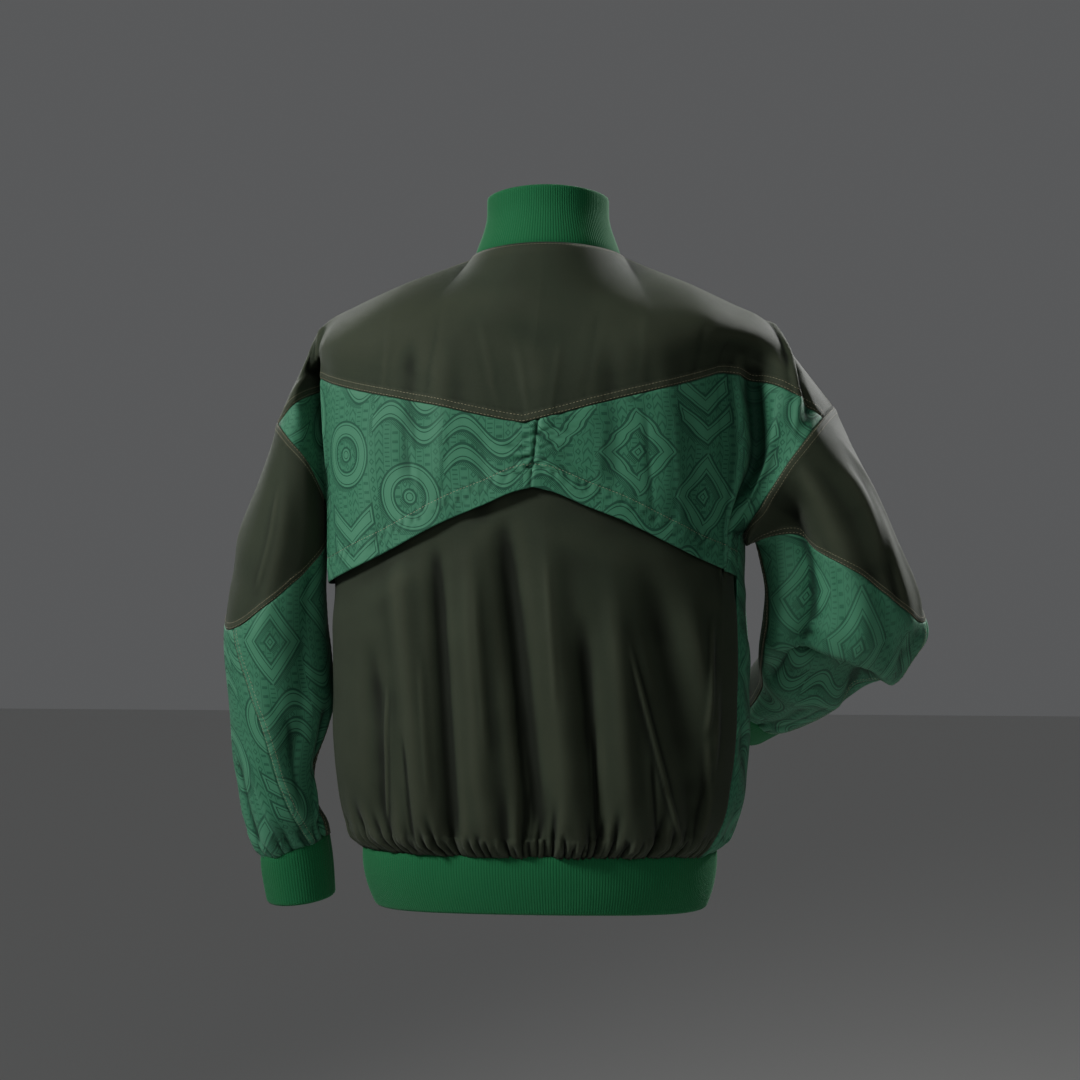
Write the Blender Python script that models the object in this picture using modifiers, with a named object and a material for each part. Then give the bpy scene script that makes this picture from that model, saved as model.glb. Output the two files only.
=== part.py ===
"""Windbreaker in its worn form: hollow cloth walls, cut and sewn as panels.

Metres, +Z up. The origin is the centre of the collar seam. The wearer's front faces -Y and the wearer's left is +X.
The tables and the sizes below are in millimetres.
"""

import math
from collections import namedtuple

import bmesh
import bpy
import numpy as np
from mathutils import Matrix, Vector

MM = 0.001
NAME = "windbreaker"

# ---------------------------------------------------------------- driving sizes

WALL = 1.2              # woven cloth, turned seams included
KNIT_WALL = 2.0         # rib knit
SEAM_GAP = 0.3          # between two sewn pieces
MITRE_LIMIT = 1.8       # the most that a wall is cut back where two pieces meet at an angle
UNDER_INSET = 1.6       # the panel under the storm flap ends this far inside its seams
UNDER_END = 1.3         # and beside the armhole at this q, before the flap curls round to the sleeve
FLAP_LIFT = 2.8         # middle of the storm flap over the middle of the panel under it, at the seams
LOBE_LIFT = 1.0         # added where both curl round to the armhole
FLAP_FLARE = 4.5        # what the free hem stands out on top of that

COLLAR_HEIGHT = 62.0
NECK_HALF_WIDTH = 80.0
NECK_BACK_Y = 75.0
NECK_FRONT_Y = -85.0
NECK_BACK_Z = -3.0
NECK_SIDE_Z = -8.0
NECK_FRONT_Z = -66.0
COLLAR_TOP_SHRINK = 0.79   # the collar's top ring over its seam ring

HEM_Z = -630.0
HEM_RISE_BACK = 8.0        # the hem seam is this much higher at centre back
RIB_HEIGHT = 60.0
RIB_GAP = 0.7              # between a gathered edge and its rib, so that the turned wall stays clear

ZIP_HALF_WIDTH = 10.0      # from centre front to the sewn edge of a front
TAPE_HALF_GAP = 1.0        # between the middle of the zip and the edge of a tape

GATHER_PITCH = 15.5        # hem gathers
GATHER_DEPTH = 2.4
CUFF_GATHERS = 15
CUFF_GATHER_DEPTH = 2.2

# Levels run down the garment: 0 is the collar and shoulder seam, and below the armpit a level is minus z.
LEVEL_MID = 95.0
LEVEL_YOKE = 190.0
LEVEL_CHEST = 245.0
LEVEL_PIT = 300.0
LEVEL_HEM = -HEM_Z

# Across the garment q runs from 0 at centre back or centre front, past the neck corner and the flank, to 2 at the
# armhole or side seam.
Q_NECK = 0.5
Q_FLANK = 1.0
Q_EDGE = 2.0

FLANK_PART = 0.79       # the flank lies at this part of the way from centre back or front to the side seam

SIGN = {"left": 1.0, "right": -1.0}

# ---------------------------------------------------------------- tables

Section = namedtuple("Section", "z centre_x half_width back_y front_y square")
BODY = (
    Section(-110, 19, 224, 124, -128, 2.30),
    Section(-140, 18, 224, 130, -138, 2.30),
    Section(-200, 15, 222, 138, -150, 2.30),
    Section(-276, 13, 220, 140, -158, 2.30),
    Section(-357, 11, 218, 140, -164, 2.35),
    Section(-455, 8, 220, 141, -166, 2.40),
    Section(-550, 8, 217, 138, -164, 2.40),
    Section(-600, 8, 208, 133, -158, 2.35),
    Section(-618, 9, 200, 127, -150, 2.30),
    Section(-630, 10, 190, 120, -142, 2.25),
)
CENTRE_Y = -10.0

RibRing = namedtuple("RibRing", "drop centre_x half_width back_y front_y square")
HEM_RIB = (
    RibRing(0, 10, 187, 118, -140, 2.25),
    RibRing(18, 10, 187, 118, -140, 2.25),
    RibRing(42, 9, 182, 115, -136, 2.25),
    RibRing(60, 8, 175, 111, -131, 2.25),
)

SideSeam = namedtuple("SideSeam", "z left right")
SIDE_SEAM = (   # degrees round from centre back: the worn garment is turned a little
    SideSeam(-110, 94, 74),
    SideSeam(-300, 94, 74),
    SideSeam(-357, 94, 72),
    SideSeam(-455, 93, 68),
    SideSeam(-550, 92, 65),
    SideSeam(-630, 92, 62),
)

Point = namedtuple("Point", "q x y z")
RIDGE = {   # the shoulder seam, from the collar to the top of the armhole
    "left": (Point(0.50, 80, 0, -8), Point(0.75, 140, -4, -30), Point(1.00, 203, -8, -56),
             Point(1.35, 244, -8, -80), Point(1.70, 266, -7, -128), Point(2.00, 289, -5, -180)),
    "right": (Point(0.50, -80, 0, -8), Point(0.75, -140, -4, -34), Point(1.00, -190, -7, -57),
              Point(1.35, -229, -8, -77), Point(1.70, -263, -6, -120), Point(2.00, -300, -4, -167)),
}
MID_BACK = {    # half way down the back yoke
    "left": (Point(0.00, 2, 113, -88), Point(0.25, 60, 109, -86), Point(0.50, 118, 96, -80),
             Point(0.75, 176, 74, -78), Point(1.00, 226, 40, -92), Point(1.35, 248, 4, -112),
             Point(1.70, 266, 24, -142)),
    "right": (Point(0.00, 2, 113, -88), Point(0.25, -58, 109, -86), Point(0.50, -112, 97, -81),
              Point(0.75, -162, 80, -78), Point(1.00, -200, 58, -88), Point(1.35, -232, 38, -102),
              Point(1.70, -262, 32, -132)),
}
MID_FRONT = {
    "left": (Point(0.00, 17, -124, -116), Point(0.25, 62, -118, -108), Point(0.50, 118, -102, -92),
             Point(0.75, 176, -82, -84), Point(1.00, 226, -58, -94), Point(1.35, 250, -38, -114),
             Point(1.70, 268, -34, -144)),
    "right": (Point(0.00, -3, -124, -116), Point(0.25, -56, -118, -108), Point(0.50, -112, -102, -94),
              Point(0.75, -162, -84, -86), Point(1.00, -202, -66, -92), Point(1.35, -234, -50, -106),
              Point(1.70, -264, -42, -136)),
}

# Where the yoke seam and the chest cross the fold between body and arm: the fold's floor and the arm's crest.
Fold = namedtuple("Fold", "level q x y z")
ARM_FOLD_BACK = {
    "left": (Fold(190, 1.35, 243, -6, -146), Fold(190, 1.70, 262, 42, -163),
             Fold(245, 1.35, 236, 26, -224), Fold(245, 1.70, 240, 33, -230)),
    "right": (Fold(190, 1.35, -216, 46, -143), Fold(190, 1.70, -252, 56, -156),
              Fold(245, 1.35, -219, 46, -224), Fold(245, 1.70, -234, 52, -232)),
}
ARM_FOLD_FRONT = {
    "left": (Fold(190, 1.35, 245, -38, -150), Fold(190, 1.70, 264, -56, -168),
             Fold(245, 1.35, 241, -58, -222), Fold(245, 1.70, 246, -66, -228)),
    "right": (Fold(190, 1.35, -222, -60, -146), Fold(190, 1.70, -258, -68, -160),
              Fold(245, 1.35, -222, -66, -224), Fold(245, 1.70, -236, -66, -232)),
}

Hole = namedtuple("Hole", "turn x y z")
ARMHOLE_BACK = {    # from the shoulder seam down the back to the side seam
    "left": (Hole(0.0, 289, -5, -180), Hole(0.2, 284, 28, -184), Hole(0.4, 268, 54, -200),
             Hole(0.6, 247, 54, -226), Hole(0.8, 236, 18, -264), Hole(1.0, 233, -34, -298)),
    "right": (Hole(0.0, -300, -4, -167), Hole(0.2, -286, 36, -181), Hole(0.4, -270, 60, -201),
              Hole(0.6, -248, 66, -230), Hole(0.8, -226, 52, -266), Hole(1.0, -206, 23, -298)),
}
ARMHOLE_FRONT = {
    "left": (Hole(0.0, 289, -5, -180), Hole(0.2, 286, -42, -187), Hole(0.4, 273, -70, -204),
             Hole(0.6, 254, -80, -232), Hole(0.8, 241, -66, -268), Hole(1.0, 233, -34, -298)),
    "right": (Hole(0.0, -300, -4, -167), Hole(0.2, -294, -44, -178), Hole(0.4, -274, -70, -202),
              Hole(0.6, -248, -72, -236), Hole(0.8, -222, -38, -272), Hole(1.0, -206, 23, -298)),
}
YOKE_TURN = 0.2     # where the yoke seams meet the armhole

SeamPoint = namedtuple("SeamPoint", "q z")
YOKE_SEAM_BACK = (SeamPoint(0.0, -191), SeamPoint(0.3, -171), SeamPoint(0.65, -154), SeamPoint(1.0, -138))
YOKE_SEAM_FRONT = (SeamPoint(0.0, -152), SeamPoint(0.5, -148), SeamPoint(1.0, -140))

HemPoint = namedtuple("HemPoint", "across drop")
FLAP_HEM_TOP_Z = -255.0
FLAP_HEM_CENTRE_X = 4.0
FLAP_HEM = (HemPoint(0, 0), HemPoint(20, 5), HemPoint(50, 18), HemPoint(85, 32), HemPoint(140, 60),
            HemPoint(175, 77), HemPoint(235, 103))

# Folds of the lower back: the x of each at two heights, its half width, and its height out of the panel.
Crease = namedtuple("Crease", "x_top x_bottom z_top z_bottom half_width height")
BACK_FOLDS = (
    Crease(152, 115, -300, -622, 13, 4.0),
    Crease(112, 92, -320, -622, 9, -6.5),
    Crease(84, 66, -330, -620, 12, 4.5),
    Crease(40, 2, -290, -624, 11, -8.0),
    Crease(4, -24, -300, -622, 13, 4.5),
    Crease(-36, -54, -400, -624, 9, -5.0),
    Crease(-60, -84, -400, -622, 11, 4.0),
    Crease(-98, -160, -340, -618, 17, -7.0),
    Crease(-140, -186, -360, -560, 12, 3.0),
    Crease(172, 160, -420, -600, 12, -3.5),
)
YOKE_FOLDS = (
    Crease(128, 134, -95, -250, 12, -2.5),
    Crease(96, 99, -110, -250, 12, 2.5),
    Crease(2, -8, -110, -250, 16, 2.0),
    Crease(-70, -74, -100, -260, 14, -2.5),
    Crease(-120, -128, -100, -270, 13, 2.5),
    Crease(60, 52, -180, -300, 14, -2.0),
    Crease(-150, -160, -170, -330, 12, -2.5),
    Crease(170, 178, -170, -340, 12, 2.5),
)
FRONT_FOLDS = (
    Crease(150, 118, -250, -620, 16, -6.0),
    Crease(104, 82, -320, -620, 14, 4.5),
    Crease(62, 50, -380, -622, 12, -5.0),
    Crease(-58, -66, -360, -622, 13, -5.5),
    Crease(-100, -112, -280, -620, 15, 4.0),
    Crease(-142, -158, -240, -618, 15, -6.0),
)

# Sleeves: rings along the arm, each with its centre, its half width across and its half depth, back to front.
Ring = namedtuple("Ring", "along x y z half_width half_depth")
SLEEVE = {
    "left": (Ring(70, 286, -8, -306, 45, 70), Ring(120, 291, -10, -352, 48, 69), Ring(170, 295, -13, -402, 54, 67),
             Ring(255, 291, -22, -487, 55, 63), Ring(330, 298, -30, -561, 43, 57), Ring(368, 293, -36, -600, 42, 53),
             Ring(392, 287, -40, -624, 41, 46), Ring(405, 281, -42, -637, 38, 38)),
    "right": (Ring(70, -284, 4, -288, 69, 67), Ring(120, -301, 6, -338, 75, 66), Ring(165, -309, 2, -378, 84, 60),
              Ring(205, -307, -24, -408, 86, 50), Ring(245, -296, -66, -430, 76, 48), Ring(300, -280, -114, -454, 58, 48),
              Ring(350, -262, -154, -474, 47, 46), Ring(385, -249, -180, -486, 41, 42), Ring(400, -243, -191, -491, 37, 38)),
}
CUFF = {    # below the seam, which is the sleeve's last ring
    "left": (Ring(30, 278, -45, -667, 38, 37), Ring(60, 275, -48, -697, 36.5, 36)),
    "right": (Ring(30, -229, -216, -502, 38, 37), Ring(60, -215, -241, -514, 36.5, 36)),
}

# Elbow and wrist seams: along the arm at the outer side and at the inner side, and the turns round the arm
# (0 outer, 0.25 back, 0.5 inner, 0.75 front) of the lengthwise seams at the elbow and at the cuff.
ELBOW_SEAM = {"left": (170.0, 55.0), "right": (190.0, 55.0)}
DIAGONAL_TURNS = (0.05, 0.375)
PANEL_BACK_TURNS = (0.47, 0.40)
PANEL_FRONT_TURNS = (0.62, 0.62)

# ---------------------------------------------------------------- curves


def spline(knots, values, at, first_slope=None, last_slope=None):
    """Smooth curve through values at rising knots, each slope taken from its neighbours."""
    knots = np.asarray(knots, float)
    values = np.asarray(values, float)
    slopes = np.gradient(values, knots, axis=0)
    if first_slope is not None:
        slopes[0] = first_slope
    if last_slope is not None:
        slopes[-1] = last_slope
    i = int(np.clip(np.searchsorted(knots, at) - 1, 0, len(knots) - 2))
    step = knots[i + 1] - knots[i]
    t = min(max((at - knots[i]) / step, 0.0), 1.0)
    return ((2 * t**3 - 3 * t**2 + 1) * values[i] + (t**3 - 2 * t**2 + t) * step * slopes[i]
            + (-2 * t**3 + 3 * t**2) * values[i + 1] + (t**3 - t**2) * step * slopes[i + 1])


def read(table, key, at, *columns):
    """The named columns of a table, as a smooth function of its key column."""
    rows = sorted(table, key=lambda row: getattr(row, key))
    return spline([getattr(row, key) for row in rows],
                  [[getattr(row, column) for column in columns] for row in rows], at)


def unit(vector):
    return vector / np.linalg.norm(vector)


def power(value, exponent):
    return math.copysign(abs(value) ** exponent, value)


def ease(low, high, value):
    """0 below low, 1 above high, smooth between."""
    t = min(max((value - low) / (high - low), 0.0), 1.0)
    return t * t * (3 - 2 * t)


def ring_point(angle, centre_x, half_width, back_y, front_y, square):
    """A rounded ring: angle 0 is centre back, 90 degrees the wearer's left, 180 centre front."""
    exponent = 2.0 / square
    depth = back_y - CENTRE_Y if math.cos(angle) > 0 else CENTRE_Y - front_y
    return (centre_x + half_width * power(math.sin(angle), exponent),
            CENTRE_Y + depth * power(math.cos(angle), exponent))


def body_ring(angle, z):
    shape = read(BODY, "z", z, "centre_x", "half_width", "back_y", "front_y", "square")
    x, y = ring_point(angle, *shape)
    return np.array((x, y, z))


def neck_ring(angle):
    """The collar seam: angle as in ring_point, both signs."""
    turn = math.cos(angle) ** 2
    if math.cos(angle) > 0:
        y = NECK_BACK_Y * math.cos(angle)
        z = NECK_SIDE_Z + (NECK_BACK_Z - NECK_SIDE_Z) * turn
    else:
        y = -NECK_FRONT_Y * math.cos(angle)
        z = NECK_SIDE_Z + (NECK_FRONT_Z - NECK_SIDE_Z) * turn
    return np.array((NECK_HALF_WIDTH * math.sin(angle), y, z))


def armhole(side, branch, turn):
    table = (ARMHOLE_BACK if branch == "back" else ARMHOLE_FRONT)[side]
    return read(table, "turn", turn, "x", "y", "z")


def armhole_turn(level):
    """How far down the armhole a level of the body meets it."""
    if level < LEVEL_YOKE:
        return YOKE_TURN * level / LEVEL_YOKE
    return YOKE_TURN + (1 - YOKE_TURN) * (level - LEVEL_YOKE) / (LEVEL_PIT - LEVEL_YOKE)


def angle_across(side, branch, q, z):
    """Angle of q on a ring, signed for its side. A front starts at its sewn zip edge."""
    seam = math.radians(float(read(SIDE_SEAM, "z", z, side)[0]))
    part = FLANK_PART * q if q <= Q_FLANK else FLANK_PART + (1 - FLANK_PART) * (q - Q_FLANK)
    if branch == "back":
        return SIGN[side] * part * seam
    half_width, square = read(BODY, "z", z, "half_width", "square")
    first = math.asin((ZIP_HALF_WIDTH / half_width) ** (square / 2))
    return SIGN[side] * (math.pi - first - part * (math.pi - first - seam))


def ring_across(side, branch, q, z):
    return body_ring(angle_across(side, branch, q, z), z)


# ---------------------------------------------------------------- rows of the body, from collar to hem


def top_row(side, branch, q):
    if q >= Q_NECK:
        return read(RIDGE[side], "q", q, "x", "y", "z")
    if branch == "back":
        return neck_ring(SIGN[side] * (q / Q_NECK) * math.pi / 2)
    first = math.asin(ZIP_HALF_WIDTH / NECK_HALF_WIDTH)
    return neck_ring(SIGN[side] * (math.pi - first - (q / Q_NECK) * (math.pi / 2 - first)))


def table_row(side, branch, q):
    """Half way down a yoke: the table's points, then the armhole."""
    table = (MID_BACK if branch == "back" else MID_FRONT)[side]
    last = Point(Q_EDGE, *armhole(side, branch, armhole_turn(LEVEL_MID)))
    return read(table + (last,), "q", q, "x", "y", "z")


def folded_row(side, branch, q, level, z_at):
    """A ring out to the flank, then over the fold between body and arm to the armhole."""
    if q <= Q_FLANK:
        return ring_across(side, branch, q, z_at(q))
    near = 0.85
    folds = (ARM_FOLD_BACK if branch == "back" else ARM_FOLD_FRONT)[side]
    knots = [Point(near, *ring_across(side, branch, near, z_at(near))),
             Point(Q_FLANK, *ring_across(side, branch, Q_FLANK, z_at(Q_FLANK)))]
    knots += [Point(fold.q, fold.x, fold.y, fold.z) for fold in folds if fold.level == level]
    knots.append(Point(Q_EDGE, *armhole(side, branch, armhole_turn(level))))
    return read(tuple(knots), "q", q, "x", "y", "z")


def yoke_seam_z(branch, q):
    table = YOKE_SEAM_BACK if branch == "back" else YOKE_SEAM_FRONT
    return float(read(table, "q", min(q, Q_FLANK), "z")[0])


def chest_z(branch, q):
    return (yoke_seam_z(branch, q) - LEVEL_PIT) / 2


def hem_z(side, branch, q):
    if branch == "front":
        return HEM_Z
    return HEM_Z + HEM_RISE_BACK * math.cos(math.pi / 4 * q) ** 2


def body_rows(side, branch, q):
    """The garment's points at one q, from the collar and shoulder seam to the hem seam, with their levels."""
    rows = [(0.0, top_row(side, branch, q)),
            (LEVEL_MID, table_row(side, branch, q)),
            (LEVEL_YOKE, folded_row(side, branch, q, LEVEL_YOKE, lambda at: yoke_seam_z(branch, at))),
            (LEVEL_CHEST, folded_row(side, branch, q, LEVEL_CHEST, lambda at: chest_z(branch, at))),
            (LEVEL_PIT, ring_across(side, branch, q, -LEVEL_PIT))]
    for level in (357.0, 455.0, 550.0, 600.0):
        rows.append((level, ring_across(side, branch, q, -level)))
    rise = hem_z(side, branch, q) - HEM_Z
    rows.append((LEVEL_HEM - 11, ring_across(side, branch, q, HEM_Z + 11 + rise)))
    last = ring_across(side, branch, q, HEM_Z)
    last[2] += rise
    rows.append((LEVEL_HEM, last))
    return [row[0] for row in rows], np.array([row[1] for row in rows])


ROWS_SEEN = {}


def rows_at(side, branch, q):
    key = (side, branch, round(q, 6))
    if key not in ROWS_SEEN:
        ROWS_SEEN[key] = body_rows(side, branch, q)
    return ROWS_SEEN[key]


def down_column(side, branch, q, level):
    levels, points = rows_at(side, branch, q)
    pit = levels.index(LEVEL_PIT)
    if level > LEVEL_PIT:
        return spline(levels[pit:], points[pit:], level)
    across_shoulder = (points[1] - rows_at(side, "front" if branch == "back" else "back", q)[1][1]) / (2 * LEVEL_MID)
    straight = (points[1] - points[0]) / LEVEL_MID
    smooth = ease(Q_NECK, Q_NECK + 0.15, q)
    below = (points[pit + 1] - points[pit]) / (levels[pit + 1] - levels[pit])
    return spline(levels[:pit + 1], points[:pit + 1], level, straight + (across_shoulder - straight) * smooth, below)


def plain_point(side, branch, q, level):
    """The garment without its folds. Near its edge it is drawn to the armhole's curve."""
    point = down_column(side, branch, q, level)
    if level > LEVEL_PIT or q < 1.3:
        return point
    edge = armhole(side, branch, armhole_turn(level)) - down_column(side, branch, Q_EDGE, level)
    return point + edge * ease(1.3, Q_EDGE, q)


def fold_height(folds, x, z):
    height = 0.0
    for fold in folds:
        t = (z - fold.z_top) / (fold.z_bottom - fold.z_top)
        centre = fold.x_top + t * (fold.x_bottom - fold.x_top)
        strength = ease(-0.05, 0.3, t) * (1 - ease(0.93, 1.08, t))
        height += fold.height * strength * math.exp(-((x - centre) / fold.half_width) ** 2)
    return height


def gather_height(distance, level):
    """Hem gathers: uneven waves that die out above the seam."""
    wave = math.cos(2 * math.pi * distance / GATHER_PITCH + 0.9 * math.sin(distance / 37.0))
    uneven = 0.75 + 0.25 * math.sin(distance / 23.0 + 1.0)
    return GATHER_DEPTH * wave * uneven * ease(LEVEL_HEM - 52, LEVEL_HEM - 12, level)


def body_normal(side, branch, q, level):
    step_q, step_level = 0.004, 0.8
    low, high = max(level - step_level, 0.0), min(level + step_level, LEVEL_HEM)
    left, right = max(q - step_q, 0.0), min(q + step_q, Q_EDGE)
    across = plain_point(side, branch, right, level) - plain_point(side, branch, left, level)
    down = plain_point(side, branch, q, high) - plain_point(side, branch, q, low)
    normal = unit(np.cross(down, across) * SIGN[side] * (-1 if branch == "back" else 1))
    normal[2] *= 1 - ease(LEVEL_HEM - 14, LEVEL_HEM - 3, level)
    return unit(normal)


def below_flap(x, z):
    """0 under the storm flap, 1 a little below its hem."""
    across = min(abs(x - FLAP_HEM_CENTRE_X), FLAP_HEM[-1].across)
    edge = FLAP_HEM_TOP_Z - float(read(FLAP_HEM, "across", across, "drop")[0])
    return 1 - ease(edge - 40, edge + 5, z)


def body_point(side, branch, q, level, lift=0.0, gathered=False):
    """A point of the garment's body with its folds, moved out by lift. Only a panel that meets the hem is gathered."""
    point = plain_point(side, branch, q, level)
    normal = body_normal(side, branch, q, level)
    x, _, z = point
    if branch == "front":
        height = fold_height(FRONT_FOLDS, x, z)
    else:
        below = below_flap(x, z) if gathered else 0.0
        height = (1 - below) * fold_height(YOKE_FOLDS, x, z) + below * fold_height(BACK_FOLDS, x, z)
    height *= (1 - ease(1.0, 1.25, q)) * ease(40, 90, level)
    if gathered:
        height += gather_height(math.atan2(x, point[1]) * 175.0, level)
    return point + normal * (height + lift)


# ---------------------------------------------------------------- sleeves


def arm_frames(side):
    """Centres of the rings from the armhole to the cuff's end, with directions along, outward and back."""
    top = armhole_loop(side, 0.0)
    low = armhole_loop(side, 0.5)
    rings = SLEEVE[side] + CUFF[side]
    centres = np.array([(top + low) / 2] + [(ring.x, ring.y, ring.z) for ring in rings])
    distances = np.concatenate([[0.0], np.cumsum(np.linalg.norm(np.diff(centres, axis=0), axis=1))])
    outward = top - low
    frames = []
    for centre, tangent in zip(centres, np.gradient(centres, distances, axis=0)):
        tangent = unit(tangent)
        outward = unit(outward - tangent * outward.dot(tangent))
        frames.append((centre, tangent, outward, np.cross(outward, tangent) * SIGN[side]))
    return frames


def armhole_loop(side, turn):
    """The armhole all round: 0 at the shoulder seam, 0.25 back, 0.5 at the side seam, 0.75 front."""
    turn = turn % 1.0
    if turn <= 0.5:
        return armhole(side, "back", turn * 2)
    return armhole(side, "front", (1 - turn) * 2)


def armpit_shift(side, turn):
    """Under the arm the sleeve doubles back along the body, so its seam lies one wall further out."""
    part = 2 * turn if turn <= 0.5 else 2 * (1 - turn)
    strength = ease(0.33, 0.42, turn) * (1 - ease(0.56, 0.66, turn))
    if strength <= 0.0:
        return np.zeros(3)
    level = LEVEL_YOKE + (part - YOKE_TURN) / (1 - YOKE_TURN) * (LEVEL_PIT - LEVEL_YOKE)
    normal = body_normal(side, "back" if turn <= 0.5 else "front", Q_EDGE, level)
    return normal * strength * (WALL + SEAM_GAP)


FRAMES_SEEN = {}
SLEEVE_ROWS_SEEN = {}


def sleeve_rows(side, turn):
    if side not in FRAMES_SEEN:
        FRAMES_SEEN[side] = arm_frames(side)
    alongs, points = [0.0], [armhole_loop(side, turn) + armpit_shift(side, turn)]
    for ring, frame in zip(SLEEVE[side], FRAMES_SEEN[side][1:]):
        centre, tangent, outward, back = frame
        cosine, sine = math.cos(2 * math.pi * turn), math.sin(2 * math.pi * turn)
        alongs.append(ring.along)
        points.append(centre + outward * ring.half_width * power(cosine, 0.92)
                      + back * ring.half_depth * power(sine, 0.92))
    return alongs, np.array(points)


def sleeve_plain(side, turn, along):
    key = (side, round(turn % 1.0, 6))
    if key not in SLEEVE_ROWS_SEEN:
        SLEEVE_ROWS_SEEN[key] = sleeve_rows(side, turn)
    alongs, points = SLEEVE_ROWS_SEEN[key]
    return spline(alongs, points, along)


SleeveFold = namedtuple("SleeveFold", "turn_top turn_bottom along_top along_bottom half_turn height")
SLEEVE_FOLDS = {
    "left": (SleeveFold(0.20, 0.16, 20, 190, 0.035, 3.5), SleeveFold(0.32, 0.24, 60, 330, 0.035, -4.0),
             SleeveFold(0.12, 0.30, 210, 390, 0.03, 4.0), SleeveFold(0.84, 0.80, 60, 330, 0.04, -4.0),
             SleeveFold(0.66, 0.70, 120, 380, 0.035, 3.5), SleeveFold(0.02, 0.06, 300, 398, 0.03, -4.0)),
    "right": (SleeveFold(0.16, 0.13, 20, 190, 0.03, 3.0), SleeveFold(0.27, 0.22, 30, 190, 0.04, -10.0),
              SleeveFold(0.34, 0.33, 60, 190, 0.03, 4.5), SleeveFold(0.40, 0.42, 60, 185, 0.025, -4.0),
              SleeveFold(0.86, 0.80, 60, 260, 0.035, -5.0), SleeveFold(0.30, 0.36, 250, 392, 0.03, -4.0),
              SleeveFold(0.05, 0.10, 230, 392, 0.035, 4.0)),
}


def sleeve_height(side, turn, along):
    height = 0.0
    for fold in SLEEVE_FOLDS[side]:
        t = (along - fold.along_top) / (fold.along_bottom - fold.along_top)
        centre = fold.turn_top + t * (fold.turn_bottom - fold.turn_top)
        away = (turn - centre + 0.5) % 1.0 - 0.5
        strength = ease(0.0, 0.3, t) * (1 - ease(0.75, 1.0, t))
        height += fold.height * strength * math.exp(-(away / fold.half_turn) ** 2)
    end = SLEEVE[side][-1].along
    wave = math.cos(2 * math.pi * CUFF_GATHERS * turn + 0.7 * math.sin(2 * math.pi * 2 * turn))
    return height + CUFF_GATHER_DEPTH * wave * ease(end - 45, end - 8, along)


def sleeve_normal(side, turn, along):
    step_turn, step_along = 0.003, 0.8
    end = SLEEVE[side][-1].along
    low, high = max(along - step_along, 0.0), min(along + step_along, end)
    around = sleeve_plain(side, turn + step_turn, along) - sleeve_plain(side, turn - step_turn, along)
    down = sleeve_plain(side, turn, high) - sleeve_plain(side, turn, low)
    normal = unit(np.cross(down, around) * SIGN[side])
    tangent = FRAMES_SEEN[side][len(SLEEVE[side])][1]
    return unit(normal - tangent * normal.dot(tangent) * ease(end - 16, end - 4, along))


def sleeve_point(side, turn, along, lift=0.0):
    point = sleeve_plain(side, turn, along)
    return point + sleeve_normal(side, turn, along) * (sleeve_height(side, turn, along) + lift)


def armhole_mitre(side, branch, level):
    """What each wall is cut back where body and sleeve meet at an angle, so that they stay apart inside."""
    turn = armhole_turn(level) / 2
    on_body = body_normal(side, branch, Q_EDGE, level)
    on_sleeve = sleeve_normal(side, turn if branch == "back" else 1 - turn, 0.0)
    bend = math.acos(max(-1.0, min(1.0, on_body.dot(on_sleeve))))
    return min(WALL / 2 * math.tan(bend / 2), MITRE_LIMIT)


def elbow_along(side, turn):
    outer, inner = ELBOW_SEAM[side]
    return (outer + inner) / 2 + (outer - inner) / 2 * math.cos(2 * math.pi * turn)


# ---------------------------------------------------------------- grids and meshes


def inset(point, inner, before, after, gap):
    """The move of an edge point towards the piece, so that the edge draws in by the gap however the grid slants."""
    inward = unit(inner - point)
    slant = np.linalg.norm(np.cross(inward, unit(after - before)))
    return inward * gap / max(slant, 0.35)


def edge_gaps(extra, count):
    """The gap at each point of an edge: half a seam gap and an extra, one value or one for each. None stays put."""
    if extra is None:
        return None
    values = [extra] * count if np.isscalar(extra) else list(extra)
    return [SEAM_GAP / 2 + value for value in values]


def pulled_in(rows, first=0.0, last=0.0, top=0.0, bottom=0.0):
    """Rows of points with their edges drawn in from the seams."""
    moved = [(keys, points.copy()) for keys, points in rows]
    for extra, edge, near in ((first, 0, 1), (last, -1, -2)):
        gaps = edge_gaps(extra, len(rows))
        for i in range(len(rows) if gaps else 0):
            before, after = rows[max(i - 1, 0)][1][edge], rows[min(i + 1, len(rows) - 1)][1][edge]
            points = rows[i][1]
            moved[i][1][edge] += inset(points[edge], points[near], before, after, gaps[i])
    for extra, edge, inner in ((top, 0, 1), (bottom, -1, -2)):
        keys, points = rows[edge]
        gaps = edge_gaps(extra, len(points))
        near_keys, near = rows[inner]
        for j in range(len(points) if gaps else 0):
            before, after = points[max(j - 1, 0)], points[min(j + 1, len(points) - 1)]
            moved[edge][1][j] += inset(points[j], at_key(near_keys, near, keys[j]), before, after, gaps[j])
    return moved


def at_key(keys, points, key):
    return np.array([np.interp(key, keys, points[:, axis]) for axis in range(3)])


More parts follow.
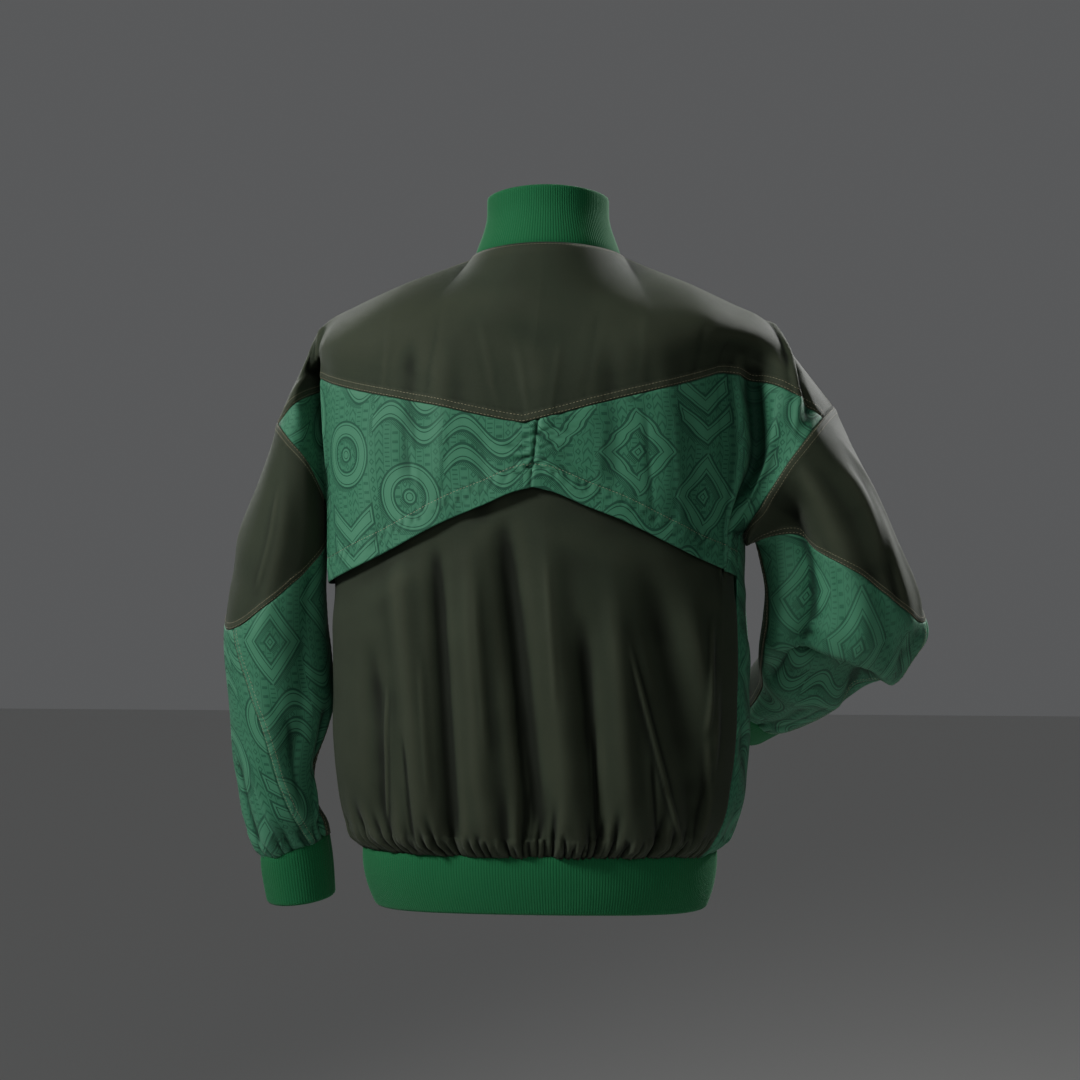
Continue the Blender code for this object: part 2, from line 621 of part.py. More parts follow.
def surface_mesh(name, rows, closed=False):
    """An open sheet lofted through rows, whose points may differ in number from row to row."""
    mesh = bmesh.new()
    lines = []
    for keys, points in rows:
        verts = [mesh.verts.new(tuple(point * MM)) for point in points]
        if closed:
            keys, verts = list(keys) + [keys[0] + 1.0], verts + [verts[0]]
        lines.append((list(keys), verts))
    for (keys_a, verts_a), (keys_b, verts_b) in zip(lines, lines[1:]):
        i = j = 0
        while i < len(verts_a) - 1 or j < len(verts_b) - 1:
            more_a, more_b = i < len(verts_a) - 1, j < len(verts_b) - 1
            if more_a and more_b and abs(keys_a[i + 1] - keys_b[j + 1]) < 1e-6:
                face = (verts_a[i], verts_b[j], verts_b[j + 1], verts_a[i + 1])
                i, j = i + 1, j + 1
            elif more_b and (not more_a or keys_b[j + 1] < keys_a[i + 1]):
                face = (verts_a[i], verts_b[j], verts_b[j + 1])
                j += 1
            else:
                face = (verts_a[i], verts_b[j], verts_a[i + 1])
                i += 1
            mesh.faces.new(face)
    data = bpy.data.meshes.new(name)
    mesh.to_mesh(data)
    mesh.free()
    data.shade_smooth()
    return data


def cloth(name, rows, wall, material, closed=False):
    """A sheet given its wall by Solidify, half to each side."""
    item = bpy.data.objects.new(name, surface_mesh(name, rows, closed))
    solid = item.modifiers.new("wall", "SOLIDIFY")
    solid.thickness = wall * MM
    solid.offset = 0.0
    item.data.materials.append(material)
    PARTS.objects.link(item)
    return item


def steps(first, last, count):
    return [first + (last - first) * i / count for i in range(count + 1)]


# ---------------------------------------------------------------- panels of the body

NECK_STEPS = steps(0.0, Q_NECK, 5)
YOKE_QS = NECK_STEPS + steps(Q_NECK, Q_FLANK, 5)[1:] + [1.1, 1.2, 1.28, 1.36, 1.46, 1.6, 1.74, 1.87, 2.0]
LOW_QS = steps(0.0, Q_FLANK, 10) + [1.25, 1.5, 1.75, 2.0]
UNDER_QS = [q for q in YOKE_QS if q < UNDER_END]
SIDE_LEVELS_HIGH = [LEVEL_YOKE, 204.0, 218.0, 232.0, 248.0, 264.0, 282.0, LEVEL_PIT]
SIDE_LEVELS_LOW = [LEVEL_PIT, 328.0, 357.0, 400.0, 450.0, 500.0, 545.0, 578.0, 596.0, 610.0, 620.0, LEVEL_HEM]
YOKE_LEVELS = [0.0, 22.0, 48.0, 75.0, 103.0, 132.0, 162.0, LEVEL_YOKE]
GATHER_FROM = 597.0


def both_sides(qs):
    """Signed q across the whole back, the wearer's right first."""
    return [-q for q in reversed(qs) if q > 0] + list(qs)


def back_row(qs, level_of, lift_of=None, gathered=False):
    points = []
    for q in qs:
        side = "left" if q >= 0 else "right"
        level = level_of(side, abs(q))
        lift = lift_of(side, abs(q), level) if lift_of else 0.0
        points.append(body_point(side, "back", abs(q), level, lift, gathered))
    return list(qs), np.array(points)


def flap_hem_level(side, q):
    """The level where the flap ends at this q, found by halving."""
    low, high = LEVEL_YOKE + 5, 430.0
    for _ in range(26):
        middle = (low + high) / 2
        x, _, z = plain_point(side, "back", q, middle)
        across = min(abs(x - FLAP_HEM_CENTRE_X), FLAP_HEM[-1].across)
        edge = FLAP_HEM_TOP_Z - float(read(FLAP_HEM, "across", across, "drop")[0])
        low, high = (middle, high) if z > edge else (low, middle)
    return (low + high) / 2


def gather_qs(first, last, gathers, per_gather=3):
    return steps(first, last, gathers * per_gather)


def mitres(branch, levels):
    """For the right and for the left edge, the armhole's mitre at each level, and none below the armhole."""
    return [[armhole_mitre(side, branch, level) if level <= LEVEL_PIT else 0.0 for level in levels]
            for side in ("right", "left")]


def ridge_mitre(q):
    """The same for the shoulder seam, where the yokes meet at an angle beside the collar."""
    if abs(q) < Q_NECK:
        return 0.0
    side = "left" if q > 0 else "right"
    normals = [body_normal(side, branch, abs(q), 0.0) for branch in ("back", "front")]
    bend = math.acos(max(-1.0, min(1.0, normals[0].dot(normals[1]))))
    return min(WALL / 2 * math.tan(bend / 2), MITRE_LIMIT)


def make_back_yoke(material):
    rows = [back_row(both_sides(YOKE_QS), lambda side, q, at=level: at) for level in YOKE_LEVELS]
    right, left = mitres("back", YOKE_LEVELS)
    ridge = [ridge_mitre(q) for q in both_sides(YOKE_QS)]
    cloth("back_yoke", pulled_in(rows, right, left, ridge), WALL, material)


FLAP_ENDS = {}


def flap_end(side, q):
    if (side, q) not in FLAP_ENDS:
        FLAP_ENDS[side, q] = flap_hem_level(side, q)
    return FLAP_ENDS[side, q]


def flap_level(side, q, row_level):
    """The flap's rows share their levels with the side panels at the edge and fan out to its hem in between."""
    ends = [flap_end(name, Q_EDGE) for name in ("left", "right")]
    own = (min(row_level, flap_end(side, Q_EDGE)) - LEVEL_YOKE) / (flap_end(side, Q_EDGE) - LEVEL_YOKE)
    shared = min((row_level - LEVEL_YOKE) / (sum(ends) / 2 - LEVEL_YOKE), 1.0)
    t = shared + (own - shared) * q / Q_EDGE
    return LEVEL_YOKE + t * (flap_end(side, q) - LEVEL_YOKE)


def flap_lift(side, q, level):
    t = (level - LEVEL_YOKE) / (flap_end(side, q) - LEVEL_YOKE)
    return FLAP_FLARE * t**2 * (1 - ease(0.9, Q_EDGE, q))


def make_back_flap(material):
    levels = SIDE_LEVELS_HIGH + [328.0, 400.0]
    rows = []
    for row_level in levels:
        rows.append(back_row(both_sides(YOKE_QS), lambda side, q, at=row_level: flap_level(side, q, at), flap_lift))
    right, left = mitres("back", levels)
    cloth("back_flap", pulled_in(rows, right, left, top=0.05, bottom=None), WALL, material)


def make_lower_back(material):
    def under(side, q, level):
        depth = FLAP_LIFT + LOBE_LIFT * ease(1.25, 1.7, q)
        return -depth * (1 - ease(flap_end(side, q), flap_end(side, q) + 45, level))

    half = gather_qs(0.0, Q_EDGE, 14)
    levels = SIDE_LEVELS_HIGH[:-1] + SIDE_LEVELS_LOW
    rows = []
    for level in levels:
        columns = half if level > GATHER_FROM else (UNDER_QS if level < LEVEL_PIT else LOW_QS)
        rows.append(back_row(both_sides(columns), lambda side, q, at=level: at, under, gathered=True))
    tucked = [UNDER_INSET * (1 - ease(LEVEL_PIT + 60, LEVEL_PIT + 100, level)) for level in levels]
    right, left = mitres("back", levels)
    cloth("lower_back", pulled_in(rows, np.add(tucked, right), np.add(tucked, left)), WALL, material)


def front_row(side, qs, level, gathered=False):
    return list(qs), np.array([body_point(side, "front", q, level, 0.0, gathered) for q in qs])


def make_front(side, print_cloth, plain_cloth):
    def edge(levels):
        return mitres("front", levels)[0 if side == "right" else 1]

    rows = [front_row(side, YOKE_QS, level) for level in YOKE_LEVELS]
    ridge = [ridge_mitre(q * SIGN[side]) for q in YOKE_QS]
    cloth(f"front_yoke_{side}", pulled_in(rows, last=edge(YOKE_LEVELS), top=ridge), WALL, plain_cloth)
    fine = gather_qs(0.0, Q_EDGE, 18)
    levels = SIDE_LEVELS_HIGH[:-1] + SIDE_LEVELS_LOW
    rows = []
    for level in levels:
        columns = fine if level > GATHER_FROM else (YOKE_QS if level < LEVEL_PIT else LOW_QS)
        rows.append(front_row(side, columns, level, gathered=True))
    cloth(f"front_{side}", pulled_in(rows, last=edge(levels)), WALL, print_cloth)


def main():
    for item in list(bpy.data.objects):
        bpy.data.objects.remove(item, do_unlink=True)
    dark = cloth_material("dark_woven", (0.028, 0.037, 0.027), 0.62)
    green = cloth_material("green_print", (0.045, 0.16, 0.10), 0.7)
    knit = cloth_material("green_rib", (0.02, 0.17, 0.055), 0.85)
    make_back_yoke(dark)
    make_back_flap(green)
    make_lower_back(dark)
    for side in ("left", "right"):
        make_front(side, green, dark)
        make_sleeve(side, green, dark)
        make_cuff(side, knit)
    make_collar(knit)
    make_hem_rib(knit)
    make_zip_tape("left", dark)
    make_zip_tape("right", dark)
    make_slider(cloth_material("zip_metal", (0.05, 0.05, 0.05), 0.35))


# ---------------------------------------------------------------- sleeves and knit pieces


def turned_row(side, turns, along_of):
    return list(turns), np.array([sleeve_point(side, turn, along_of(turn)) for turn in turns])


def lengthwise(turns, t):
    """A lengthwise seam's turn, t of the way from the elbow seam to the cuff."""
    return turns[0] + (turns[1] - turns[0]) * t


def make_sleeve(side, print_cloth, plain_cloth):
    end = SLEEVE[side][-1].along
    levels = [0.0, 0.1, 0.22, 0.35, 0.48, 0.6, 0.72, 0.83, 0.9, 1.0]
    pieces = (
        ("lower_sleeve_inner", DIAGONAL_TURNS, PANEL_BACK_TURNS, 7, 7, print_cloth),
        ("sleeve_panel", PANEL_BACK_TURNS, PANEL_FRONT_TURNS, 4, 9, plain_cloth),
        ("lower_sleeve_outer", tuple(turn - 1 for turn in PANEL_FRONT_TURNS), DIAGONAL_TURNS, 10, 30, print_cloth),
    )
    elbow_turns = set()
    for name, first, last, coarse, fine, material in pieces:
        rows = []
        for t in levels:
            turns = steps(lengthwise(first, t), lengthwise(last, t), fine if t > 0.85 else coarse)
            if t == 0.0:
                elbow_turns.update(round(turn % 1.0, 6) for turn in turns)
            rows.append(turned_row(side, turns, lambda turn, t=t: elbow_along(side, turn) * (1 - t) + end * t))
        normal = [(steps(0.0, 1.0, len(keys) - 1), points) for keys, points in rows]
        cloth(f"{name}_{side}", pulled_in(normal, 0.05, 0.05), WALL, material)
    shared = [("back", level) for level in YOKE_LEVELS + SIDE_LEVELS_HIGH[1:]]
    shared += [("front", level) for _, level in reversed(shared[1:-1])]
    mitre = [armhole_mitre(side, branch, level) for branch, level in shared]
    top = [armhole_turn(level) / 2 if branch == "back" else 1 - armhole_turn(level) / 2 for branch, level in shared]
    rows = [turned_row(side, top, lambda turn: 0.0)]
    for t in (0.12, 0.26, 0.4, 0.55, 0.7, 0.86):
        rows.append(turned_row(side, steps(0.0, 1.0, 24)[:-1], lambda turn, t=t: t * elbow_along(side, turn)))
    rows.append(turned_row(side, sorted(elbow_turns), lambda turn: elbow_along(side, turn)))
    cloth(f"upper_sleeve_{side}", pulled_in(rows, None, None, mitre), WALL, plain_cloth, closed=True)


def make_cuff(side, material):
    frames = arm_frames(side)[len(SLEEVE[side]):]
    rings = SLEEVE[side][-1:] + CUFF[side]
    turns = steps(0.0, 1.0, 28)[:-1]
    rows = []
    for ring, (centre, tangent, outward, back) in zip(rings, frames):
        if ring is rings[0]:
            centre = centre + tangent * RIB_GAP
        points = [centre + outward * ring.half_width * math.cos(2 * math.pi * turn)
                  + back * ring.half_depth * math.sin(2 * math.pi * turn) for turn in turns]
        rows.append((turns, np.array(points)))
    cloth(f"cuff_{side}", rows, KNIT_WALL, material, closed=True)


COLLAR_STEPS = (0.0, 0.15, 0.4, 0.7, 1.0)


def collar_point(angle, t):
    low = neck_ring(angle)
    shrink = 1 - (1 - COLLAR_TOP_SHRINK) * ease(-0.35, 0.75, t)
    back = math.cos(angle) > 0
    lean = 3.0 if back else 8.0
    return np.array((low[0] * shrink, low[1] * shrink - lean * t, low[2] + COLLAR_HEIGHT * t))


def make_collar(material):
    first = math.asin(ZIP_HALF_WIDTH / NECK_HALF_WIDTH)
    fronts = [math.pi - first - (q / Q_NECK) * (math.pi / 2 - first) for q in NECK_STEPS]
    backs = [(q / Q_NECK) * math.pi / 2 for q in NECK_STEPS]
    half = backs[:-1] + fronts[::-1]
    angles = [-angle for angle in reversed(half) if angle > 0] + half
    rows = []
    for t in COLLAR_STEPS:
        rows.append((angles, np.array([collar_point(angle, t) for angle in angles])))
    cloth("collar", pulled_in(rows, bottom=None), KNIT_WALL, material)


def rib_point(angle, drop):
    shape = read(HEM_RIB, "drop", drop, "centre_x", "half_width", "back_y", "front_y", "square")
    rise = HEM_RISE_BACK * max(math.cos(angle), 0.0) ** 2
    return np.array((*ring_point(angle, *shape), HEM_Z - drop + rise))


RIB_STEPS = (RIB_GAP, 14.0, 36.0, RIB_HEIGHT)
RIB_FIRST = math.asin(ZIP_HALF_WIDTH / HEM_RIB[0].half_width)


def make_hem_rib(material):
    angles = steps(-(math.pi - RIB_FIRST), math.pi - RIB_FIRST, 50)
    rows = [(angles, np.array([rib_point(angle, drop) for angle in angles])) for drop in RIB_STEPS]
    cloth("hem_rib", pulled_in(rows, top=None, bottom=None), KNIT_WALL, material)


# ---------------------------------------------------------------- centre front fastening

SLIDER_WIDTH = 9.5
SLIDER_LENGTH = 13.0
SLIDER_PLATE = 1.6
SLIDER_CLEAR = 0.6          # from the tape's face to the slider's plate
SLIDER_OVER_TAPE = 4.0      # the slider reaches this far above the tape's end
POST_SIZE = 3.0
BRIDGE_WIDTH = 2.4
BRIDGE_HOLE = (5.0, 2.6)    # length and depth
BRIDGE_BAR = 1.2
PULL_WIDTH = 7.0
PULL_LENGTH = 25.0
PULL_THICK = 1.4
PULL_HOLE = (4.2, 8.5)      # width and length
PULL_REST = 1.0             # the pull's bar lies this far below the middle of the bridge's hole
PULL_TILT = 9.0             # degrees that the hanging pull stands off the tape


def zip_edges():
    """Points of the two sewn edges beside the zip, from the collar's top to the hem's end."""
    collar_first = math.asin(ZIP_HALF_WIDTH / NECK_HALF_WIDTH)
    rows = [[collar_point(sign * (math.pi - collar_first), t) for sign in (1, -1)] for t in reversed(COLLAR_STEPS)]
    levels = YOKE_LEVELS[1:] + SIDE_LEVELS_HIGH[1:-1] + SIDE_LEVELS_LOW
    rows += [[body_point(side, "front", 0.0, level) for side in ("left", "right")] for level in levels]
    rows += [[rib_point(sign * (math.pi - RIB_FIRST), drop) for sign in (1, -1)] for drop in RIB_STEPS[1:]]
    return rows


def make_zip_tape(side, material):
    rows = []
    for left, right in zip_edges():
        middle = (left + right) / 2
        sewn = left if side == "left" else right
        near = middle + unit(sewn - middle) * TAPE_HALF_GAP
        rows.append(([0.0, 1.0], np.array([near, sewn])))
    for keys, points in rows:
        points[1] += SEAM_GAP / 2 * unit(points[0] - points[1])
    cloth(f"zip_tape_{side}", rows, WALL, material)


def slider_frame():
    """Origin at the tapes' top end, with +Z up the tape and -Y out of the jacket."""
    (left, right), (low_left, low_right) = zip_edges()[:2]
    top = (left + right) / 2
    up = unit(top - (low_left + low_right) / 2)
    across = unit(left - right)
    inward = unit(np.cross(up, across))
    across = np.cross(inward, up)
    frame = Matrix.Identity(4)
    for column, vector in enumerate((across, inward, up, top * MM)):
        for row in range(3):
            frame[row][column] = vector[row]
    return frame


def box(name, collection, low, high):
    """A box between two corners, in millimetres."""
    mesh = bmesh.new()
    bmesh.ops.create_cube(mesh, size=1.0)
    size = [(b - a) * MM for a, b in zip(low, high)]
    middle = [(a + b) / 2 * MM for a, b in zip(low, high)]
    bmesh.ops.scale(mesh, vec=size, verts=mesh.verts)
    bmesh.ops.translate(mesh, vec=middle, verts=mesh.verts)
    data = bpy.data.meshes.new(name)
    mesh.to_mesh(data)
    mesh.free()
    item = bpy.data.objects.new(name, data)
    collection.objects.link(item)
    if collection is CUTTERS:
        item.hide_render = True
        item.display_type = "WIRE"
    return item


def joined(item, other, operation):
    cut = item.modifiers.new(other.name, "BOOLEAN")
    cut.operation = operation
    cut.object = other


def make_slider(metal):
    frame = slider_frame()
    half = SLIDER_WIDTH / 2
    inner = WALL / 2 + SLIDER_CLEAR
    outer = inner + SLIDER_PLATE
    top = SLIDER_OVER_TAPE
    low = top - SLIDER_LENGTH
    middle = (top + low) / 2
    length, depth = BRIDGE_HOLE
    front = box("zip_slider", PARTS, (-half, -outer, low), (half, -inner, top))
    pieces = (
        ("slider_back", (-half, inner, low), (half, outer, top), "UNION"),
        ("slider_post", (-POST_SIZE / 2, -inner - 0.5, top - POST_SIZE), (POST_SIZE / 2, inner + 0.5, top), "UNION"),
        ("slider_bridge", (-BRIDGE_WIDTH / 2, -outer - depth - BRIDGE_BAR, middle - length / 2 - BRIDGE_BAR),
         (BRIDGE_WIDTH / 2, -outer + 0.5, middle + length / 2 + BRIDGE_BAR), "UNION"),
        ("slider_hole", (-BRIDGE_WIDTH, -outer - depth, middle - length / 2),
         (BRIDGE_WIDTH, -outer, middle + length / 2), "DIFFERENCE"),
    )
    for name, corner, opposite, operation in pieces:
        piece = box(name, CUTTERS, corner, opposite)
        piece.matrix_world = frame
        joined(front, piece, operation)
    front.matrix_world = frame
    front.data.materials.append(metal)
    axis = Matrix.Translation(Vector((0, -(outer + depth / 2) * MM, (middle - PULL_REST) * MM)))
    make_pull(frame @ axis @ Matrix.Rotation(math.radians(-PULL_TILT), 4, "X"), metal)


def make_pull(frame, metal):
    """The pull tab, its origin on its hinge, the bar in the slider's bridge."""
    half, thick = PULL_WIDTH / 2, PULL_THICK / 2
    pull = box("zip_pull", PARTS, (-half, -thick, thick - PULL_LENGTH), (half, thick, thick))
    hole_width, hole_length = PULL_HOLE
    hole = box("pull_hole", CUTTERS, (-hole_width / 2, -PULL_THICK, -thick - hole_length),
               (hole_width / 2, PULL_THICK, -thick))
    hole.matrix_world = frame
    joined(pull, hole, "DIFFERENCE")
    pull.matrix_world = frame
    pull.data.materials.append(metal)


def cloth_material(name, colour, roughness):
    material = bpy.data.materials.new(name)
    material.use_nodes = True
    shader = material.node_tree.nodes["Principled BSDF"]
    shader.inputs["Base Color"].default_value = (*colour, 1.0)
    shader.inputs["Roughness"].default_value = roughness
    shader.inputs["Metallic"].default_value = 0.0
    return material


PARTS = bpy.data.collections.new(NAME)
CUTTERS = bpy.data.collections.new("cutters")
for group in (PARTS, CUTTERS):
    bpy.context.scene.collection.children.link(group)
main()
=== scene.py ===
# %% [markdown]
# # A windbreaker, seen from behind
# The garment is worn: it is hollow, one sleeve hangs and the other is bent. Its panels are cut from two
# thin woven cloths, a plain dark olive one and a green one with a tone-on-tone print. Collar, cuffs and
# hem are rib knit. Every panel is made here as a fine grid of points on the garment's form, so that
# folds, gathers, seams and stitches can follow the cloth.

# %% Load the frame
import math
from collections import namedtuple

import bpy
import numpy as np
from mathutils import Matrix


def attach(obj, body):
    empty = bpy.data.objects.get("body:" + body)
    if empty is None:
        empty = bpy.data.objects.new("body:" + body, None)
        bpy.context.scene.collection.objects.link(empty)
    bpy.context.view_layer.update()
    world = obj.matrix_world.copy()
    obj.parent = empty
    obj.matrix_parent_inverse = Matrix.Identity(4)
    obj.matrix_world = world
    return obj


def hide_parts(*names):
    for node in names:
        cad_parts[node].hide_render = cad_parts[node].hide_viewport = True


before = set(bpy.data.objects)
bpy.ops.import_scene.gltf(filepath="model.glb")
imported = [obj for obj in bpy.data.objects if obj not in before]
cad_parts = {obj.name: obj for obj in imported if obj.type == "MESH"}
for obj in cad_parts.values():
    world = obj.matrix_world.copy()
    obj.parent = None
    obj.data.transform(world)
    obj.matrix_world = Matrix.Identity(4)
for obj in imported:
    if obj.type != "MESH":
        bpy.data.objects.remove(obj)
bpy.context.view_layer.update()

MM = 0.001
bpy.ops.object.select_all(action="DESELECT")

# %% [markdown]
# The camera comes first. It stands behind the garment, a little to its right, level with the middle of
# the back. A level camera keeps upright edges upright, which is how clothes are usually photographed.

# %% Camera
CAMERA_AZIMUTH = math.radians(184.5)
CAMERA_DISTANCE = 1.95
CAMERA_HEIGHT = -0.307
CAMERA_SIDE = 0.0085        # the garment's middle stands this far right of the picture's
towards = np.array([math.sin(CAMERA_AZIMUTH), -math.cos(CAMERA_AZIMUTH), 0.0])
across_view = np.array([math.cos(CAMERA_AZIMUTH), math.sin(CAMERA_AZIMUTH), 0.0])
lens = bpy.data.cameras.new("camera")
lens.lens = 61.33
lens.sensor_width = 36.0
camera = bpy.data.objects.new("camera", lens)
camera.location = CAMERA_DISTANCE * towards - CAMERA_SIDE * across_view + np.array([0, 0, CAMERA_HEIGHT])
camera.rotation_euler = (math.pi / 2, 0.0, CAMERA_AZIMUTH)
bpy.context.scene.collection.objects.link(camera)
bpy.context.scene.camera = camera
print("camera at", [round(value, 3) for value in camera.location])

# %% [markdown]
# A pale floor and soft studio light. Large area lights give the broad, soft shading that shows folds in
# cloth. One strong light at a low angle draws the folds, and weaker ones open the shadows on the other
# sides.

# %% Floor and lights
FLOOR_Z = -1.9
bpy.ops.mesh.primitive_plane_add(size=30.0, location=(0, 0, FLOOR_Z))
floor = bpy.context.object
floor.name = "floor"
floor_paint = bpy.data.materials.new("floor_paint")
floor_paint.use_nodes = True
floor_paint.node_tree.nodes["Principled BSDF"].inputs["Base Color"].default_value = (0.78, 0.78, 0.76, 1)
floor_paint.node_tree.nodes["Principled BSDF"].inputs["Roughness"].default_value = 0.9
floor.data.materials.append(floor_paint)
world = bpy.data.worlds.new("studio")
world.use_nodes = True
world.node_tree.nodes["Background"].inputs["Color"].default_value = (0.80, 0.81, 0.83, 1)
world.node_tree.nodes["Background"].inputs["Strength"].default_value = 0.13
bpy.context.scene.world = world


def soft_light(name, place, aim, size, power, spread=180):
    """A square softbox. A spread below 180 degrees stands for a grid, which keeps light off the floor."""
    lamp = bpy.data.lights.new(name, "AREA")
    lamp.shape = "SQUARE"
    lamp.size = size
    lamp.energy = power
    lamp.spread = math.radians(spread)
    item = bpy.data.objects.new(name, lamp)
    item.location = place
    direction = np.array(aim, float) - np.array(place, float)
    flat = math.hypot(direction[0], direction[1])
    turn = math.atan2(direction[1], direction[0]) - math.pi / 2
    item.rotation_euler = (math.atan2(flat, -direction[2]), 0.0, turn)
    bpy.context.scene.collection.objects.link(item)


MIDDLE = (0.0, 0.0, -0.35)
soft_light("key_light", (2.35, 1.65, 1.35), MIDDLE, 0.7, 15.6, 70)
soft_light("fill_light", (-0.6, 2.9, 0.4), MIDDLE, 1.6, 15)
soft_light("rim_light", (-1.9, -1.7, 1.1), (-0.2, 0.0, -0.2), 0.5, 16, 70)
soft_light("front_light", (1.6, -2.4, 0.9), MIDDLE, 1.2, 11, 90)

# %% [markdown]
# ## The garment's form
# Sizes are in millimetres. A few short tables hold the form: rings of the body, the shoulder seam, the
# two armholes and rings along each arm. A smooth curve through the rows of a table gives every point
# between them.

# %% Curves through tables


def spline(knots, values, at, first_slope=None, last_slope=None):
    """A smooth curve through values at rising knots, either one curve for all of at or one for each."""
    knots = np.asarray(knots, float)
    values = np.asarray(values, float)
    at = np.asarray(at, float)
    slopes = np.gradient(values, knots, axis=0)
    if first_slope is not None:
        slopes[0] = first_slope
    if last_slope is not None:
        slopes[-1] = last_slope
    i = np.clip(np.searchsorted(knots, at) - 1, 0, len(knots) - 2)
    step = (knots[i + 1] - knots[i])[..., None]
    t = np.clip((at - knots[i])[..., None] / step, 0.0, 1.0)
    if values.ndim == 2:
        a, b, slope_a, slope_b = values[i], values[i + 1], slopes[i], slopes[i + 1]
    else:
        pick = i[None, ..., None]
        a, b = (np.take_along_axis(values, pick + k, axis=0)[0] for k in (0, 1))
        slope_a, slope_b = (np.take_along_axis(slopes, pick + k, axis=0)[0] for k in (0, 1))
    return ((2 * t**3 - 3 * t**2 + 1) * a + (t**3 - 2 * t**2 + t) * step * slope_a
            + (-2 * t**3 + 3 * t**2) * b + (t**3 - t**2) * step * slope_b)


def read(table, key, at, *columns):
    """The named columns of a table, as a smooth function of its key column."""
    rows = sorted(table, key=lambda row: getattr(row, key))
    return spline([getattr(row, key) for row in rows],
                  [[getattr(row, column) for column in columns] for row in rows], at)


def ease(low, high, value):
    """0 below low, 1 above high, smooth between."""
    t = np.clip((np.asarray(value, float) - low) / (high - low), 0.0, 1.0)
    return t * t * (3 - 2 * t)


def power(value, exponent):
    return np.sign(value) * np.abs(value) ** exponent


def unit(vectors):
    return vectors / np.maximum(np.linalg.norm(vectors, axis=-1, keepdims=True), 1e-12)


def bump(value, width):
    return np.exp(-(value / width) ** 2)


# %% Sizes and tables of the body
NECK_HALF_WIDTH, NECK_BACK_Y, NECK_FRONT_Y = 80.0, 75.0, -85.0
NECK_BACK_Z, NECK_SIDE_Z, NECK_FRONT_Z = -3.0, -8.0, -66.0
COLLAR_HEIGHT, COLLAR_TOP_SHRINK = 62.0, 0.79
HEM_Z, HEM_RISE_BACK, RIB_HEIGHT = -630.0, 8.0, 60.0
ZIP_HALF_WIDTH, TAPE_HALF_GAP = 10.0, 1.0
WALL, KNIT_WALL = 1.2, 2.0
LEVEL_MID, LEVEL_YOKE, LEVEL_CHEST, LEVEL_PIT, LEVEL_HEM = 95.0, 190.0, 245.0, 300.0, 630.0
Q_NECK, Q_FLANK, Q_EDGE = 0.5, 1.0, 2.0
FLANK_PART, CENTRE_Y = 0.79, -10.0
SIGN = {"left": 1.0, "right": -1.0}

Section = namedtuple("Section", "z centre_x half_width back_y front_y square")
BODY = (
    Section(-110, 19, 224, 124, -128, 2.30), Section(-140, 18, 224, 130, -138, 2.30),
    Section(-200, 15, 222, 138, -150, 2.30), Section(-276, 13, 220, 140, -158, 2.30),
    Section(-357, 11, 218, 140, -164, 2.35), Section(-455, 8, 220, 141, -166, 2.40),
    Section(-550, 8, 217, 138, -164, 2.40), Section(-600, 8, 208, 133, -158, 2.35),
    Section(-618, 9, 200, 127, -150, 2.30), Section(-630, 10, 190, 120, -142, 2.25),
)
RibRing = namedtuple("RibRing", "drop centre_x half_width back_y front_y square")
HEM_RIB = (
    RibRing(0, 10, 187, 118, -140, 2.25), RibRing(18, 10, 187, 118, -140, 2.25),
    RibRing(42, 9, 182, 115, -136, 2.25), RibRing(60, 8, 175, 111, -131, 2.25),
)
SideSeam = namedtuple("SideSeam", "z left right")
SIDE_SEAM = (SideSeam(-110, 94, 74), SideSeam(-300, 94, 74), SideSeam(-357, 94, 72), SideSeam(-455, 93, 68),
             SideSeam(-550, 92, 65), SideSeam(-630, 92, 62))
Point = namedtuple("Point", "q x y z")
RIDGE = {
    "left": (Point(0.50, 80, 0, -8), Point(0.75, 140, -4, -30), Point(1.00, 203, -8, -56),
             Point(1.35, 244, -8, -80), Point(1.70, 266, -7, -128), Point(2.00, 289, -5, -180)),
    "right": (Point(0.50, -80, 0, -8), Point(0.75, -140, -4, -34), Point(1.00, -190, -7, -57),
              Point(1.35, -229, -8, -77), Point(1.70, -263, -6, -120), Point(2.00, -300, -4, -167)),
}
MID_BACK = {
    "left": (Point(0.00, 2, 113, -88), Point(0.25, 60, 109, -86), Point(0.50, 118, 96, -80),
             Point(0.75, 176, 74, -78), Point(1.00, 226, 40, -92), Point(1.35, 248, 4, -112),
             Point(1.70, 266, 24, -142)),
    "right": (Point(0.00, 2, 113, -88), Point(0.25, -58, 109, -86), Point(0.50, -112, 97, -81),
              Point(0.75, -162, 80, -78), Point(1.00, -200, 58, -88), Point(1.35, -232, 38, -102),
              Point(1.70, -262, 32, -132)),
}
MID_FRONT = {
    "left": (Point(0.00, 22, -124, -116), Point(0.25, 64, -118, -108), Point(0.50, 118, -102, -92),
             Point(0.75, 176, -82, -84), Point(1.00, 226, -58, -94), Point(1.35, 250, -38, -114),
             Point(1.70, 268, -34, -144)),
    "right": (Point(0.00, 2, -124, -116), Point(0.25, -54, -118, -108), Point(0.50, -112, -102, -94),
              Point(0.75, -162, -84, -86), Point(1.00, -202, -66, -92), Point(1.35, -234, -50, -106),
              Point(1.70, -264, -42, -136)),
}
Fold = namedtuple("Fold", "level q x y z")
